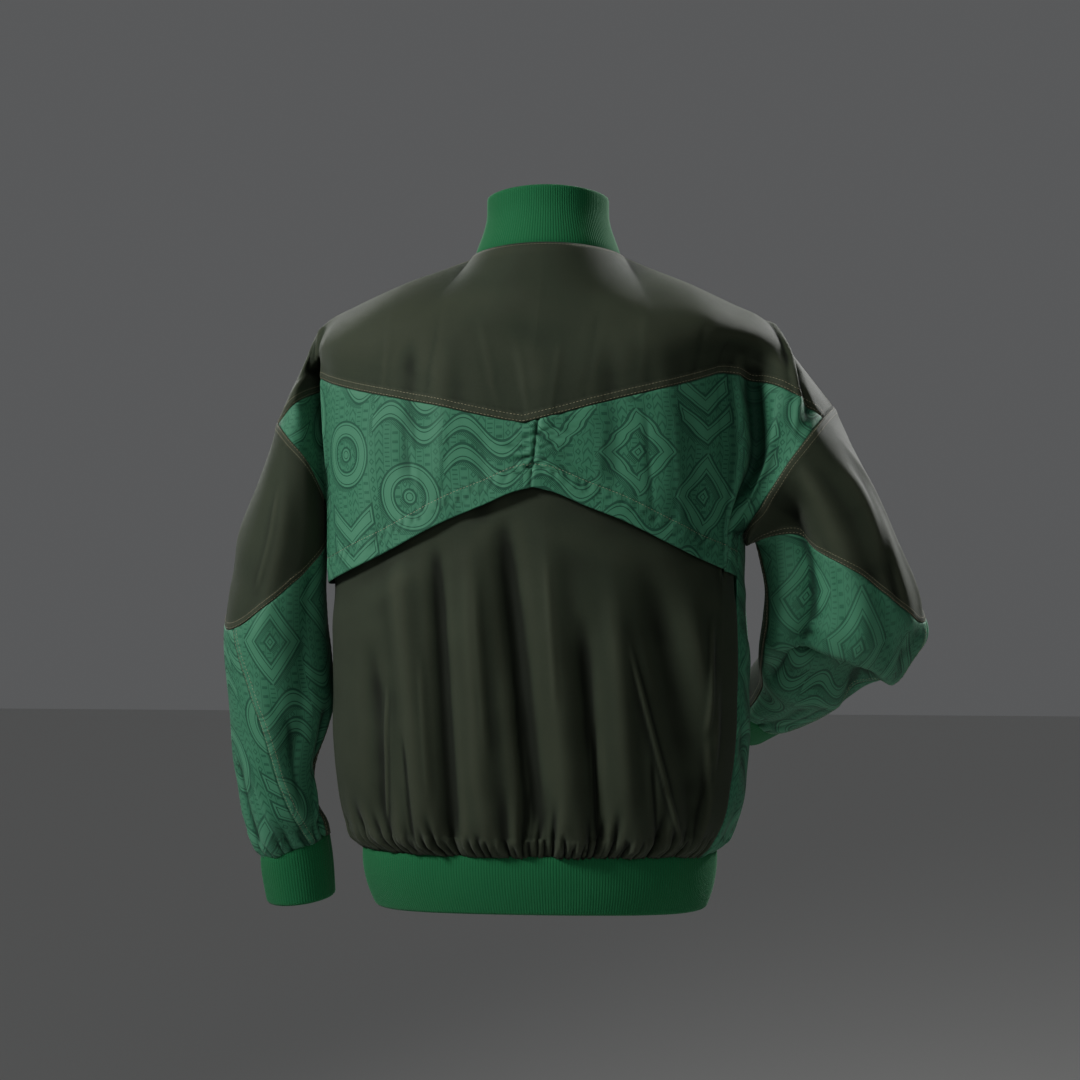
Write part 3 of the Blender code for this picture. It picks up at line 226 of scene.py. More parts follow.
ARM_FOLD = {
    ("left", "back"): (Fold(190, 1.35, 243, -6, -146), Fold(190, 1.70, 262, 42, -163),
                       Fold(245, 1.35, 236, 26, -224), Fold(245, 1.70, 240, 33, -230)),
    ("right", "back"): (Fold(190, 1.35, -216, 46, -143), Fold(190, 1.70, -252, 56, -156),
                        Fold(245, 1.35, -219, 46, -224), Fold(245, 1.70, -234, 52, -232)),
    ("left", "front"): (Fold(190, 1.35, 245, -38, -150), Fold(190, 1.70, 264, -56, -168),
                        Fold(245, 1.35, 241, -58, -222), Fold(245, 1.70, 246, -66, -228)),
    ("right", "front"): (Fold(190, 1.35, -222, -60, -146), Fold(190, 1.70, -258, -68, -160),
                         Fold(245, 1.35, -222, -66, -224), Fold(245, 1.70, -236, -66, -232)),
}
Hole = namedtuple("Hole", "turn x y z")
ARMHOLE = {
    ("left", "back"): (Hole(0.0, 289, -5, -180), Hole(0.2, 284, 28, -184), Hole(0.4, 268, 54, -200),
                       Hole(0.6, 247, 54, -226), Hole(0.8, 236, 18, -264), Hole(1.0, 233, -34, -298)),
    ("right", "back"): (Hole(0.0, -300, -4, -167), Hole(0.2, -286, 36, -181), Hole(0.4, -270, 60, -201),
                        Hole(0.6, -248, 66, -230), Hole(0.8, -226, 52, -266), Hole(1.0, -206, 23, -298)),
    ("left", "front"): (Hole(0.0, 289, -5, -180), Hole(0.2, 286, -42, -187), Hole(0.4, 273, -70, -204),
                        Hole(0.6, 254, -80, -232), Hole(0.8, 241, -66, -268), Hole(1.0, 233, -34, -298)),
    ("right", "front"): (Hole(0.0, -300, -4, -167), Hole(0.2, -294, -44, -178), Hole(0.4, -274, -70, -202),
                         Hole(0.6, -248, -72, -236), Hole(0.8, -222, -38, -272), Hole(1.0, -206, 23, -298)),
}
YOKE_TURN = 0.2
SeamPoint = namedtuple("SeamPoint", "q z")
YOKE_SEAM = {
    "back": (SeamPoint(0.0, -191), SeamPoint(0.3, -171), SeamPoint(0.65, -154), SeamPoint(1.0, -138)),
    "front": (SeamPoint(0.0, -152), SeamPoint(0.5, -148), SeamPoint(1.0, -140)),
}
HemPoint = namedtuple("HemPoint", "across drop")
FLAP_HEM_TOP_Z, FLAP_HEM_CENTRE_X = -255.0, 4.0
FLAP_HEM = (HemPoint(0, 0), HemPoint(20, 5), HemPoint(50, 18), HemPoint(85, 32), HemPoint(140, 60),
            HemPoint(175, 77), HemPoint(235, 103))


# %% Rings and edges


def ring_point(angle, shape):
    """A rounded ring: angle 0 is centre back, a quarter turn the wearer's left, half a turn centre front."""
    centre_x, half_width, back_y, front_y, square = np.moveaxis(shape, -1, 0)
    exponent = 2.0 / square
    depth = np.where(np.cos(angle) > 0, back_y - CENTRE_Y, CENTRE_Y - front_y)
    return (centre_x + half_width * power(np.sin(angle), exponent),
            CENTRE_Y + depth * power(np.cos(angle), exponent))


def body_ring(angle, z):
    z = np.broadcast_to(np.asarray(z, float), np.shape(angle))
    x, y = ring_point(angle, read(BODY, "z", z, "centre_x", "half_width", "back_y", "front_y", "square"))
    return np.stack((x, y, z), axis=-1)


def neck_ring(angle):
    turn = np.cos(angle) ** 2
    behind = np.cos(angle) > 0
    y = np.where(behind, NECK_BACK_Y, -NECK_FRONT_Y) * np.cos(angle)
    z = NECK_SIDE_Z + (np.where(behind, NECK_BACK_Z, NECK_FRONT_Z) - NECK_SIDE_Z) * turn
    return np.stack((NECK_HALF_WIDTH * np.sin(angle), y, z), axis=-1)


def armhole(side, branch, turn):
    return read(ARMHOLE[side, branch], "turn", turn, "x", "y", "z")


def armhole_turn(level):
    below = YOKE_TURN + (1 - YOKE_TURN) * (level - LEVEL_YOKE) / (LEVEL_PIT - LEVEL_YOKE)
    return np.where(level < LEVEL_YOKE, YOKE_TURN * level / LEVEL_YOKE, below)


def ring_across(side, branch, q, z):
    """The body's ring at height z, and q across it. A front starts at its sewn zip edge."""
    z = np.broadcast_to(np.asarray(z, float), np.shape(q))
    seam = np.radians(read(SIDE_SEAM, "z", z, side)[..., 0])
    part = np.where(q <= Q_FLANK, FLANK_PART * q, FLANK_PART + (1 - FLANK_PART) * (q - Q_FLANK))
    if branch == "back":
        return body_ring(SIGN[side] * part * seam, z)
    half_width, square = np.moveaxis(read(BODY, "z", z, "half_width", "square"), -1, 0)
    first = np.arcsin((ZIP_HALF_WIDTH / half_width) ** (square / 2))
    return body_ring(SIGN[side] * (math.pi - first - part * (math.pi - first - seam)), z)


# %% Rows of the body, from the collar to the hem


def top_row(side, branch, q):
    ridge = read(RIDGE[side], "q", q, "x", "y", "z")
    along_neck = np.minimum(q / Q_NECK, 1.0)
    if branch == "back":
        neck = neck_ring(SIGN[side] * along_neck * math.pi / 2)
    else:
        first = math.asin(ZIP_HALF_WIDTH / NECK_HALF_WIDTH)
        neck = neck_ring(SIGN[side] * (math.pi - first - along_neck * (math.pi / 2 - first)))
    return np.where((q >= Q_NECK)[..., None], ridge, neck)


def table_row(side, branch, q):
    table = (MID_BACK if branch == "back" else MID_FRONT)[side]
    last = Point(Q_EDGE, *armhole(side, branch, armhole_turn(LEVEL_MID)))
    return read(table + (last,), "q", q, "x", "y", "z")


def yoke_seam_z(branch, q):
    return read(YOKE_SEAM[branch], "q", np.minimum(q, Q_FLANK), "z")[..., 0]


def chest_z(branch, q):
    return (yoke_seam_z(branch, q) - LEVEL_PIT) / 2


def folded_row(side, branch, q, level, z_at):
    """A ring out to the flank, then over the fold between body and arm to the armhole."""
    knots = []
    for near in (0.85, Q_FLANK):
        knots.append(Point(near, *ring_across(side, branch, np.array(near), z_at(branch, np.array(near)))))
    knots += [Point(fold.q, fold.x, fold.y, fold.z) for fold in ARM_FOLD[side, branch] if fold.level == level]
    knots.append(Point(Q_EDGE, *armhole(side, branch, armhole_turn(level))))
    folded = read(tuple(knots), "q", q, "x", "y", "z")
    return np.where((q <= Q_FLANK)[..., None], ring_across(side, branch, q, z_at(branch, q)), folded)


HEM_TURN = 11.0             # above its lower edge the cloth turns down to meet the rib
ROW_LEVELS = [0.0, LEVEL_MID, LEVEL_YOKE, LEVEL_CHEST, LEVEL_PIT, 357.0, 455.0, 550.0, 600.0,
              LEVEL_HEM - HEM_TURN, LEVEL_HEM]
PIT = ROW_LEVELS.index(LEVEL_PIT)


def body_rows(side, branch, q):
    rise = HEM_RISE_BACK * np.cos(math.pi / 4 * q) ** 2 if branch == "back" else np.zeros(np.shape(q))
    rows = [top_row(side, branch, q), table_row(side, branch, q),
            folded_row(side, branch, q, LEVEL_YOKE, yoke_seam_z),
            folded_row(side, branch, q, LEVEL_CHEST, chest_z)]
    rows += [ring_across(side, branch, q, -level) for level in ROW_LEVELS[PIT:-2]]
    rows.append(ring_across(side, branch, q, HEM_Z + HEM_TURN + rise))
    last = ring_across(side, branch, q, HEM_Z)
    last[..., 2] += rise
    return np.array(rows + [last])


def down_column(side, branch, q, level):
    points = body_rows(side, branch, q)
    other = table_row(side, "front" if branch == "back" else "back", q)
    over_shoulder = (points[1] - other) / (2 * LEVEL_MID)
    straight = (points[1] - points[0]) / LEVEL_MID
    first = straight + (over_shoulder - straight) * ease(Q_NECK - 0.05, Q_NECK + 0.3, q)[..., None]
    below = (points[PIT + 1] - points[PIT]) / (ROW_LEVELS[PIT + 1] - LEVEL_PIT)
    upper = spline(ROW_LEVELS[:PIT + 1], points[:PIT + 1], np.minimum(level, LEVEL_PIT), first, below)
    lower = spline(ROW_LEVELS[PIT:], points[PIT:], np.maximum(level, LEVEL_PIT))
    return np.where((level > LEVEL_PIT)[..., None], lower, upper)


def body_plain(side, branch, q, level):
    """The body without folds. q is 0 at the centre, 0.5 at the neck, 1 at the flank, 2 at the far edge."""
    q, level = np.broadcast_arrays(np.asarray(q, float), np.asarray(level, float))
    point = down_column(side, branch, q, level)
    last = down_column(side, branch, np.full(q.shape, Q_EDGE), level)
    edge = armhole(side, branch, armhole_turn(level)) - last
    drawn = np.where(level > LEVEL_PIT, 0.0, ease(1.3, Q_EDGE, q))
    return point + edge * drawn[..., None]


def body_normal(side, branch, q, level):
    across = (body_plain(side, branch, np.minimum(q + 0.004, Q_EDGE), level)
              - body_plain(side, branch, np.maximum(q - 0.004, 0.0), level))
    down = (body_plain(side, branch, q, np.minimum(level + 0.8, LEVEL_HEM))
            - body_plain(side, branch, q, np.maximum(level - 0.8, 0.0)))
    normal = unit(np.cross(down, across) * SIGN[side] * (-1 if branch == "back" else 1))
    normal[..., 2] *= 1 - ease(LEVEL_HEM - 14, LEVEL_HEM - 3, level)
    return unit(normal)


print("centre back at the yoke seam:", np.round(body_plain("left", "back", 0.0, LEVEL_YOKE), 1))

# %% [markdown]
# Folds are soft troughs and ridges. Each one is a row of a table: where it starts and ends, how wide it
# is and how far it stands out of the cloth or sinks in. The lower back hangs in long upright folds that
# the hem rib gathers; the yoke and the flap lie smoother, because they are cut nearly flat.

# %% Folds of the body
Crease = namedtuple("Crease", "x_top x_bottom z_top z_bottom half_width height")
BACK_FOLDS = (
    Crease(146, 112, -290, -622, 14, 7.0), Crease(104, 84, -300, -622, 10, -9.5),
    Crease(70, 52, -300, -620, 14, 7.5), Crease(36, -4, -275, -624, 13, -12.0),
    Crease(-6, -34, -290, -622, 15, 7.5), Crease(-44, -61, -380, -624, 10, -8.0),
    Crease(-72, -92, -340, -622, 13, 7.0), Crease(-108, -168, -320, -618, 19, -11.0),
    Crease(-146, -186, -360, -560, 12, 5.0), Crease(172, 160, -400, -600, 12, -6.0),
)
YOKE_FOLDS = (
    Crease(128, 134, -95, -250, 12, -2.5), Crease(96, 99, -110, -250, 12, 2.5),
    Crease(2, -8, -110, -250, 16, 2.0), Crease(-70, -74, -100, -260, 14, -2.5),
    Crease(-120, -128, -100, -270, 13, 2.5), Crease(60, 52, -180, -300, 14, -2.0),
    Crease(-150, -160, -170, -330, 12, -2.5), Crease(170, 178, -170, -340, 12, 2.5),
)
FRONT_FOLDS = (
    Crease(150, 118, -250, -620, 16, -6.0), Crease(104, 82, -320, -620, 14, 4.5),
    Crease(62, 50, -380, -622, 12, -5.0), Crease(-58, -66, -360, -622, 13, -5.5),
    Crease(-100, -112, -280, -620, 15, 4.0), Crease(-142, -158, -240, -618, 15, -6.0),
)
# Thin, sharper creases that the cloth keeps from being worn and folded.
FINE_BACK = (
    Crease(154, 158, -450, -590, 2.6, 2.6), Crease(-89, -142, -410, -612, 2.6, 3.0),
    Crease(-172, -166, -385, -500, 2.6, 2.6), Crease(-166, -174, -500, -595, 2.6, 2.4),
    Crease(62, 50, -340, -520, 3.4, 1.2), Crease(-8, -18, -320, -470, 3.6, 1.2),
    Crease(118, 108, -420, -560, 3.2, 1.3), Crease(-56, -59, -486, -615, 2.8, -3.4),
    Crease(24, 12, -430, -600, 3.0, -1.8), Crease(134, 126, -500, -620, 3.0, -2.0),
    Crease(-112, -118, -520, -620, 3.0, -2.0),
)
# Light drag lines and creases that the yoke shows when it is seen close.
FINE_YOKE = (
    Crease(152, 160, -60, -170, 3.5, 0.5), Crease(100, 112, -50, -165, 4.0, -0.4),
    Crease(64, 40, -80, -175, 4.0, 0.35), Crease(24, 8, -110, -186, 4.0, 0.5),
    Crease(-22, -12, -105, -184, 4.0, 0.5), Crease(-60, -44, -70, -176, 4.5, -0.4),
    Crease(-108, -100, -60, -165, 4.0, 0.5), Crease(-168, -150, -80, -150, 4.0, -0.6),
    Crease(134, 120, -185, -262, 3.6, 0.8), Crease(88, 96, -180, -262, 3.4, -0.7),
    Crease(-64, -58, -186, -250, 3.6, 0.8), Crease(-104, -112, -170, -290, 3.2, -1.0),
    Crease(-132, -140, -165, -300, 3.4, 1.1),
)
FINE_FRONT = (
    Crease(128, 100, -380, -600, 3.2, 1.5), Crease(-84, -90, -420, -610, 3.2, -1.6),
    Crease(36, 30, -460, -615, 3.0, 1.3), Crease(-124, -138, -330, -520, 3.2, 1.4),
    Crease(176, 168, -320, -560, 3.4, 1.5),
)


# Creases where body and arm meet. They run in the garment's own directions: q across and level down.
ArmCrease = namedtuple("ArmCrease", "side q_top q_bottom level_top level_bottom half_q height")
ARM_CREASES = (
    ArmCrease("right", 1.34, 1.84, -20, 225, 0.032, 5.5),
    ArmCrease("right", 1.43, 1.93, -5, 215, 0.045, -6.0),
    ArmCrease("right", 1.34, 1.36, 170, 345, 0.080, -14.0),
    ArmCrease("right", 1.19, 1.18, 160, 345, 0.045, 3.5),
    ArmCrease("right", 1.62, 1.50, 195, 285, 0.060, 3.0),
    ArmCrease("left", 1.02, 1.04, 160, 350, 0.035, 1.8),
    ArmCrease("left", 1.22, 1.24, 170, 340, 0.085, -6.0),
    ArmCrease("left", 1.36, 1.30, 5, 120, 0.040, 2.2),
    ArmCrease("left", 1.50, 1.46, 20, 170, 0.050, -2.6),
)


def arm_crease_height(branch, x, q, level):
    """The worn arm pulls the back more than the front, where the creases are shallow."""
    height = np.zeros(np.shape(x))
    for crease in ARM_CREASES:
        t = (level - crease.level_top) / (crease.level_bottom - crease.level_top)
        centre = crease.q_top + np.clip(t, 0, 1) * (crease.q_bottom - crease.q_top)
        strength = ease(-0.02, 0.18, t) * (1 - ease(0.8, 1.04, t)) * (1 - ease(1.86, Q_EDGE, q))
        strength = strength * (x * SIGN[crease.side] > 0)
        height = height + crease.height * strength * bump(q - centre, crease.half_q)
    return height * (1 - 0.75 * ease(0, 40, level)) if branch == "front" else height


def fold_height(folds, x, z):
    height = np.zeros(np.shape(x))
    for fold in folds:
        t = (z - fold.z_top) / (fold.z_bottom - fold.z_top)
        centre = fold.x_top + t * (fold.x_bottom - fold.x_top)
        strength = ease(-0.05, 0.3, t) * (1 - ease(0.86, 1.08, t))
        height += fold.height * strength * bump(x - centre, fold.half_width)
    return height


RIPPLE_CELLS = 64           # the uneven ground repeats after this many hills


def ripple(u, v, seed, size):
    """Smooth uneven ground between -1 and 1, with hills about this size, the same for a seed each time."""
    heights = np.random.default_rng(seed).uniform(-1, 1, (RIPPLE_CELLS, RIPPLE_CELLS))
    a, b = np.asarray(u, float) / size + 17.3, np.asarray(v, float) / size + 9.7
    i, j = np.floor(a).astype(int), np.floor(b).astype(int)
    s, t = a - i, b - j
    s, t = s * s * (3 - 2 * s), t * t * (3 - 2 * t)
    corner = [heights[(i + k) % RIPPLE_CELLS, (j + n) % RIPPLE_CELLS] for k in (0, 1) for n in (0, 1)]
    return (corner[0] * (1 - t) + corner[1] * t) * (1 - s) + (corner[2] * (1 - t) + corner[3] * t) * s


# %% Gathers above the hem rib
GATHER_PITCH, GATHER_DEPTH, GATHER_REACH = 11.5, 12.0, 80.0
WAVE_PITCH, CRIMP_PITCH = 31.0, 5.6
TRUNK_RADIUS = 175.0
PLEAT_WIDTH, PLEAT_SPREAD = 1.9, 0.07       # half a pleat's width at the seam, and how much it gains upwards


def pleats(distance, above, pitch, depth, longest, seed):
    """Narrow pleats that start at a seam, each with its own depth, length and slant, and a puff above it."""
    rng = np.random.default_rng(seed)
    count = 256
    shift, slant = rng.uniform(-0.38, 0.38, count) * pitch, rng.uniform(-0.14, 0.14, count)
    deep, reach = rng.uniform(0.2, 1.0, count) * depth, longest * rng.uniform(0.2, 1.0, count) ** 1.6
    above = np.maximum(above, 0.0)
    nearest = np.round(distance / pitch)
    height = np.zeros(np.broadcast(distance, above).shape)
    for neighbour in (-2, -1, 0, 1, 2):
        index = (nearest + neighbour).astype(int) % count
        away = distance - (nearest + neighbour) * pitch - shift[index] - slant[index] * above
        width = PLEAT_WIDTH + PLEAT_SPREAD * above
        fade = (1 - ease(0.0, 1.0, above / (reach[index] + 9))) * (0.45 + 0.55 * ease(0, 4, above))
        height = height - deep[index] * bump(away, width) * fade
    return height + 0.16 * depth * bump(above - 5.0, 9.0)


def gather_height(distance, level):
    """Pleats right above the seam, over soft uneven waves that reach further up."""
    wave = np.cos(2 * math.pi * distance / WAVE_PITCH + 0.9 * np.sin(distance / 37.0))
    near = ease(LEVEL_HEM - 90, LEVEL_HEM - 25, level)
    crimp = np.cos(2 * math.pi * distance / CRIMP_PITCH + 2.0 * np.sin(distance / 13.0))
    return (pleats(distance, LEVEL_HEM - level, GATHER_PITCH, GATHER_DEPTH, GATHER_REACH, 5)
            + 0.55 * crimp * ease(LEVEL_HEM - 34, LEVEL_HEM - 6, level)
            + 1.8 * wave * (0.7 + 0.3 * np.sin(distance / 23.0 + 1.0)) * near)


def below_flap(x, z):
    """0 under the storm flap, 1 a little below its hem."""
    across = np.minimum(np.abs(x - FLAP_HEM_CENTRE_X), FLAP_HEM[-1].across)
    edge = FLAP_HEM_TOP_Z - read(FLAP_HEM, "across", across, "drop")[..., 0]
    return 1 - ease(edge - 40, edge + 5, z)


def body_height(branch, point, q, level, gathered):
    """All folds and creases of the body at a point."""
    x, y, z = np.moveaxis(point, -1, 0)
    if branch == "front":
        height = fold_height(FRONT_FOLDS, x, z) + fold_height(FINE_FRONT, x, z)
    else:
        below = below_flap(x, z) if gathered else 0.0
        height = (1 - below) * (fold_height(YOKE_FOLDS, x, z) + fold_height(FINE_YOKE, x, z))
        height = height + below * (fold_height(BACK_FOLDS, x, z) + fold_height(FINE_BACK, x, z))
    height = height * (1 - ease(1.0, 1.25, q)) * ease(40, 90, level) + arm_crease_height(branch, x, q, level)
    height = height + 0.7 * ripple(x, z, 3, 34.0) * ease(30, 80, level)
    if branch == "front":       # crumpled towards the side seams
        near_side = ease(1.1, 1.5, q) * (1 - ease(1.75, 1.98, q)) * ease(320, 380, level)
        height = height + 3.2 * ripple(0.8 * x - 0.9 * y + 0.5 * z, 0.6 * z, 13, 17.0) * near_side
    if gathered:
        height = height + gather_height(np.arctan2(x, y) * TRUNK_RADIUS, level)
    return height


# %% [markdown]
# ## The sleeves' form
# A sleeve is a tube through rings along the arm. Round the arm a turn of 0 is the outer side, a quarter
# the back and a half the inner side. The bent elbow pushes the cloth into short, deep folds on its
# inner side.

# %% Rings and folds of the sleeves
Ring = namedtuple("Ring", "along x y z half_width half_depth")
SLEEVE = {
    "left": (Ring(70, 286, -8, -306, 45, 70), Ring(120, 291, -10, -352, 48, 69),
             Ring(170, 295, -13, -402, 54, 67), Ring(255, 291, -22, -487, 55, 63),
             Ring(330, 298, -30, -561, 43, 57), Ring(368, 293, -36, -600, 42, 53),
             Ring(392, 287, -40, -624, 41, 46), Ring(405, 281, -42, -637, 38, 38)),
    "right": (Ring(70, -284, 4, -288, 69, 67), Ring(120, -301, 6, -338, 75, 66),
              Ring(165, -309, 2, -378, 84, 60), Ring(205, -307, -24, -408, 86, 50),
              Ring(245, -296, -66, -430, 76, 48), Ring(300, -280, -114, -454, 58, 48),
              Ring(350, -262, -154, -474, 47, 46), Ring(385, -249, -180, -486, 41, 42),
              Ring(400, -243, -191, -491, 37, 38)),
}
CUFF = {
    "left": (Ring(30, 278, -45, -667, 38, 37), Ring(60, 275, -48, -697, 36.5, 36)),
    "right": (Ring(30, -229, -216, -502, 38, 37), Ring(60, -215, -241, -514, 36.5, 36)),
}
ELBOW_SEAM = {"left": (170.0, 55.0), "right": (190.0, 55.0)}
DIAGONAL_TURNS = (0.05, 0.28)
PANEL_TURNS = {"left": ((0.47, 0.40), (0.62, 0.62)), "right": ((0.53, 0.46), (0.66, 0.66))}
CUFF_GATHERS, CUFF_GATHER_DEPTH, CUFF_ROUND = 20, 6.5, 240.0
SleeveFold = namedtuple("SleeveFold", "turn_top turn_bottom along_top along_bottom half_turn height")
SLEEVE_FOLDS = {
    "left": (SleeveFold(0.20, 0.16, 20, 190, 0.035, 3.5), SleeveFold(0.32, 0.24, 60, 330, 0.035, -4.0),
             SleeveFold(0.12, 0.30, 210, 390, 0.03, 4.0), SleeveFold(0.84, 0.80, 60, 330, 0.04, -4.0),
             SleeveFold(0.66, 0.70, 120, 380, 0.035, 3.5), SleeveFold(0.02, 0.06, 300, 398, 0.03, -4.0),
             SleeveFold(0.17, 0.13, 30, 130, 0.010, 1.5), SleeveFold(0.22, 0.30, 240, 380, 0.012, -1.6),
             SleeveFold(0.08, 0.20, 300, 395, 0.012, 1.6), SleeveFold(0.90, 0.96, 200, 380, 0.014, -1.6),
             SleeveFold(0.36, 0.43, 235, 396, 0.028, -9.0), SleeveFold(0.50, 0.50, 235, 396, 0.060, -8.0),
             SleeveFold(0.41, 0.34, 280, 398, 0.016, 4.0)),
    "right": (SleeveFold(0.17, 0.15, 20, 200, 0.03, 4.0), SleeveFold(0.385, 0.365, 0, 225, 0.080, -34.0),
              SleeveFold(0.272, 0.250, 0, 215, 0.024, 7.0),
              SleeveFold(0.86, 0.80, 60, 260, 0.035, -5.0), SleeveFold(0.30, 0.36, 275, 392, 0.03, -4.0),
              SleeveFold(0.05, 0.10, 270, 392, 0.035, 4.0), SleeveFold(0.31, 0.30, 70, 190, 0.010, 1.8),
              SleeveFold(0.20, 0.17, 120, 240, 0.012, 1.8), SleeveFold(0.24, 0.33, 275, 385, 0.012, -2.0),
              SleeveFold(0.10, 0.07, 10, 190, 0.014, 2.0), SleeveFold(0.13, 0.19, 30, 170, 0.016, -2.2)),
}


def armhole_loop(side, turn):
    turn = np.asarray(turn, float) % 1.0
    back = armhole(side, "back", np.minimum(turn * 2, 1.0))
    front = armhole(side, "front", np.minimum((1 - turn) * 2, 1.0))
    return np.where((turn <= 0.5)[..., None], back, front)


def arm_frames(side):
    """Centres of the rings from the armhole to the cuff's end, with directions along, outward and back."""
    top, low = armhole_loop(side, 0.0), armhole_loop(side, 0.5)
    centres = np.array([(top + low) / 2] + [(ring.x, ring.y, ring.z) for ring in SLEEVE[side] + CUFF[side]])
    distances = np.concatenate([[0.0], np.cumsum(np.linalg.norm(np.diff(centres, axis=0), axis=1))])
    outward = top - low
    frames = []
    for centre, tangent in zip(centres, np.gradient(centres, distances, axis=0)):
        tangent = unit(tangent)
        outward = unit(outward - tangent * outward.dot(tangent))
        frames.append((centre, tangent, outward, np.cross(outward, tangent) * SIGN[side]))
    return frames


FRAMES = {side: arm_frames(side) for side in SIGN}


def armpit_shift(side, turn):
    """Under the arm the sleeve doubles back along the body, so its seam lies one wall further out."""
    part = np.where(turn <= 0.5, 2 * turn, 2 * (1 - turn))
    strength = ease(0.33, 0.42, turn) * (1 - ease(0.56, 0.66, turn))
    below_yoke = (part - YOKE_TURN) / (1 - YOKE_TURN)
    level = np.clip(LEVEL_YOKE + below_yoke * (LEVEL_PIT - LEVEL_YOKE), 0, LEVEL_PIT)
    edge = np.full(np.shape(turn), Q_EDGE)
    normal = np.where((turn <= 0.5)[..., None], body_normal(side, "back", edge, level),
                      body_normal(side, "front", edge, level))
    return normal * (strength * (WALL + 0.3))[..., None]


SEAM_TURNS = np.linspace(0, 1, 721)
ARM_SEAM = {side: armhole_loop(side, SEAM_TURNS) + armpit_shift(side, SEAM_TURNS) for side in SIGN}


def sleeve_plain(side, turn, along):
    turn, along = np.broadcast_arrays(np.asarray(turn, float), np.asarray(along, float))
    points = [np.stack([np.interp(turn % 1.0, SEAM_TURNS, line) for line in ARM_SEAM[side].T], -1)]
    cosine, sine = power(np.cos(2 * math.pi * turn), 0.92), power(np.sin(2 * math.pi * turn), 0.92)
    for ring, (centre, _, outward, back) in zip(SLEEVE[side], FRAMES[side][1:]):
        points.append(centre + outward * (ring.half_width * cosine)[..., None]
                      + back * (ring.half_depth * sine)[..., None])
    return spline([0.0] + [ring.along for ring in SLEEVE[side]], np.array(points), along)


def sleeve_normal(side, turn, along):
    end = SLEEVE[side][-1].along
    around = sleeve_plain(side, turn + 0.003, along) - sleeve_plain(side, turn - 0.003, along)
    down = (sleeve_plain(side, turn, np.minimum(along + 0.8, end))
            - sleeve_plain(side, turn, np.maximum(along - 0.8, 0.0)))
    normal = unit(np.cross(down, around) * SIGN[side])
    tangent = FRAMES[side][len(SLEEVE[side])][1]
    return unit(normal - tangent * ((normal @ tangent) * ease(end - 16, end - 4, along))[..., None])


Mound = namedtuple("Mound", "turn along half_turn half_along height")
BENT_MOUNDS = (
    Mound(0.045, 204, 0.07, 19, 12.0),      # the elbow's outer corner
    Mound(0.11, 236, 0.06, 24, 9.0),        # the corner of the cloth that hangs behind it
    Mound(0.02, 105, 0.10, 55, -7.0),       # the flat stretch above the elbow
    Mound(0.47, 32, 0.06, 24, 18.0),        # the cloth that sags under the arm
)
BAG_END_OUTER, BAG_END_INNER = 250.0, 192.0     # where the bagged cloth ends along the arm
BAG_HEIGHT, UNDER_BAG = 7.0, -22.0


def bent_elbow(turn, along):
    """The right elbow: cloth bags out at the bend, hangs over the forearm in one edge and sags below."""
    behind = ease(0.03, 0.10, turn) * (1 - ease(0.44, 0.50, turn))
    edge = BAG_END_OUTER + (BAG_END_INNER - BAG_END_OUTER) * ease(0.09, 0.28, turn)
    height = BAG_HEIGHT * behind * ease(edge - 45, edge - 6, along) * (1 - ease(edge - 3, edge + 5, along))
    hang = ease(0.10, 0.20, turn) * behind * (1 - ease(edge + 22, edge + 85, along))
    height = height + UNDER_BAG * hang * ease(edge - 3, edge + 6, along)
    for mound in BENT_MOUNDS:
        height += (mound.height * bump(turn - mound.turn, mound.half_turn)
                   * bump(along - mound.along, mound.half_along))
    return height


def sleeve_height(side, turn, along):
    height = np.zeros(np.shape(turn))
    for fold in SLEEVE_FOLDS[side]:
        t = (along - fold.along_top) / (fold.along_bottom - fold.along_top)
        away = (turn - fold.turn_top - t * (fold.turn_bottom - fold.turn_top) + 0.5) % 1.0 - 0.5
        strength = ease(0.0, 0.22, t) * (1 - ease(0.78, 1.0, t))
        height += fold.height * strength * bump(away, fold.half_turn)
    end = SLEEVE[side][-1].along
    pitch = CUFF_ROUND / CUFF_GATHERS
    height += pleats(turn % 1.0 * CUFF_ROUND, end - along, pitch, CUFF_GATHER_DEPTH, 44.0, 9)
    wave = np.cos(14 * math.pi * turn + 0.7 * np.sin(4 * math.pi * turn))
    height += 1.6 * wave * ease(end - 70, end - 20, along)
    if side == "right":
        height += bent_elbow(turn % 1.0, along)
    return height + 0.7 * ripple(turn * 300, along, 11, 30.0) * ease(0, 25, along)


def elbow_along(side, turn):
    outer, inner = ELBOW_SEAM[side]
    return (outer + inner) / 2 + (outer - inner) / 2 * np.cos(2 * math.pi * turn)


for side in SIGN:
    outer_line = sleeve_plain(side, 0.0, np.array([0.0, 200.0, 400.0]))
    print(side, "sleeve's outer line:", np.round(outer_line, 0).tolist())

# %% [markdown]
# ## Materials
# Every pattern is worked out from each piece's own UV map, laid out in metres as the cloth lay flat. A
# small helper turns sums on the surface into nodes, so that a pattern reads like a formula.

# %% A helper for patterns


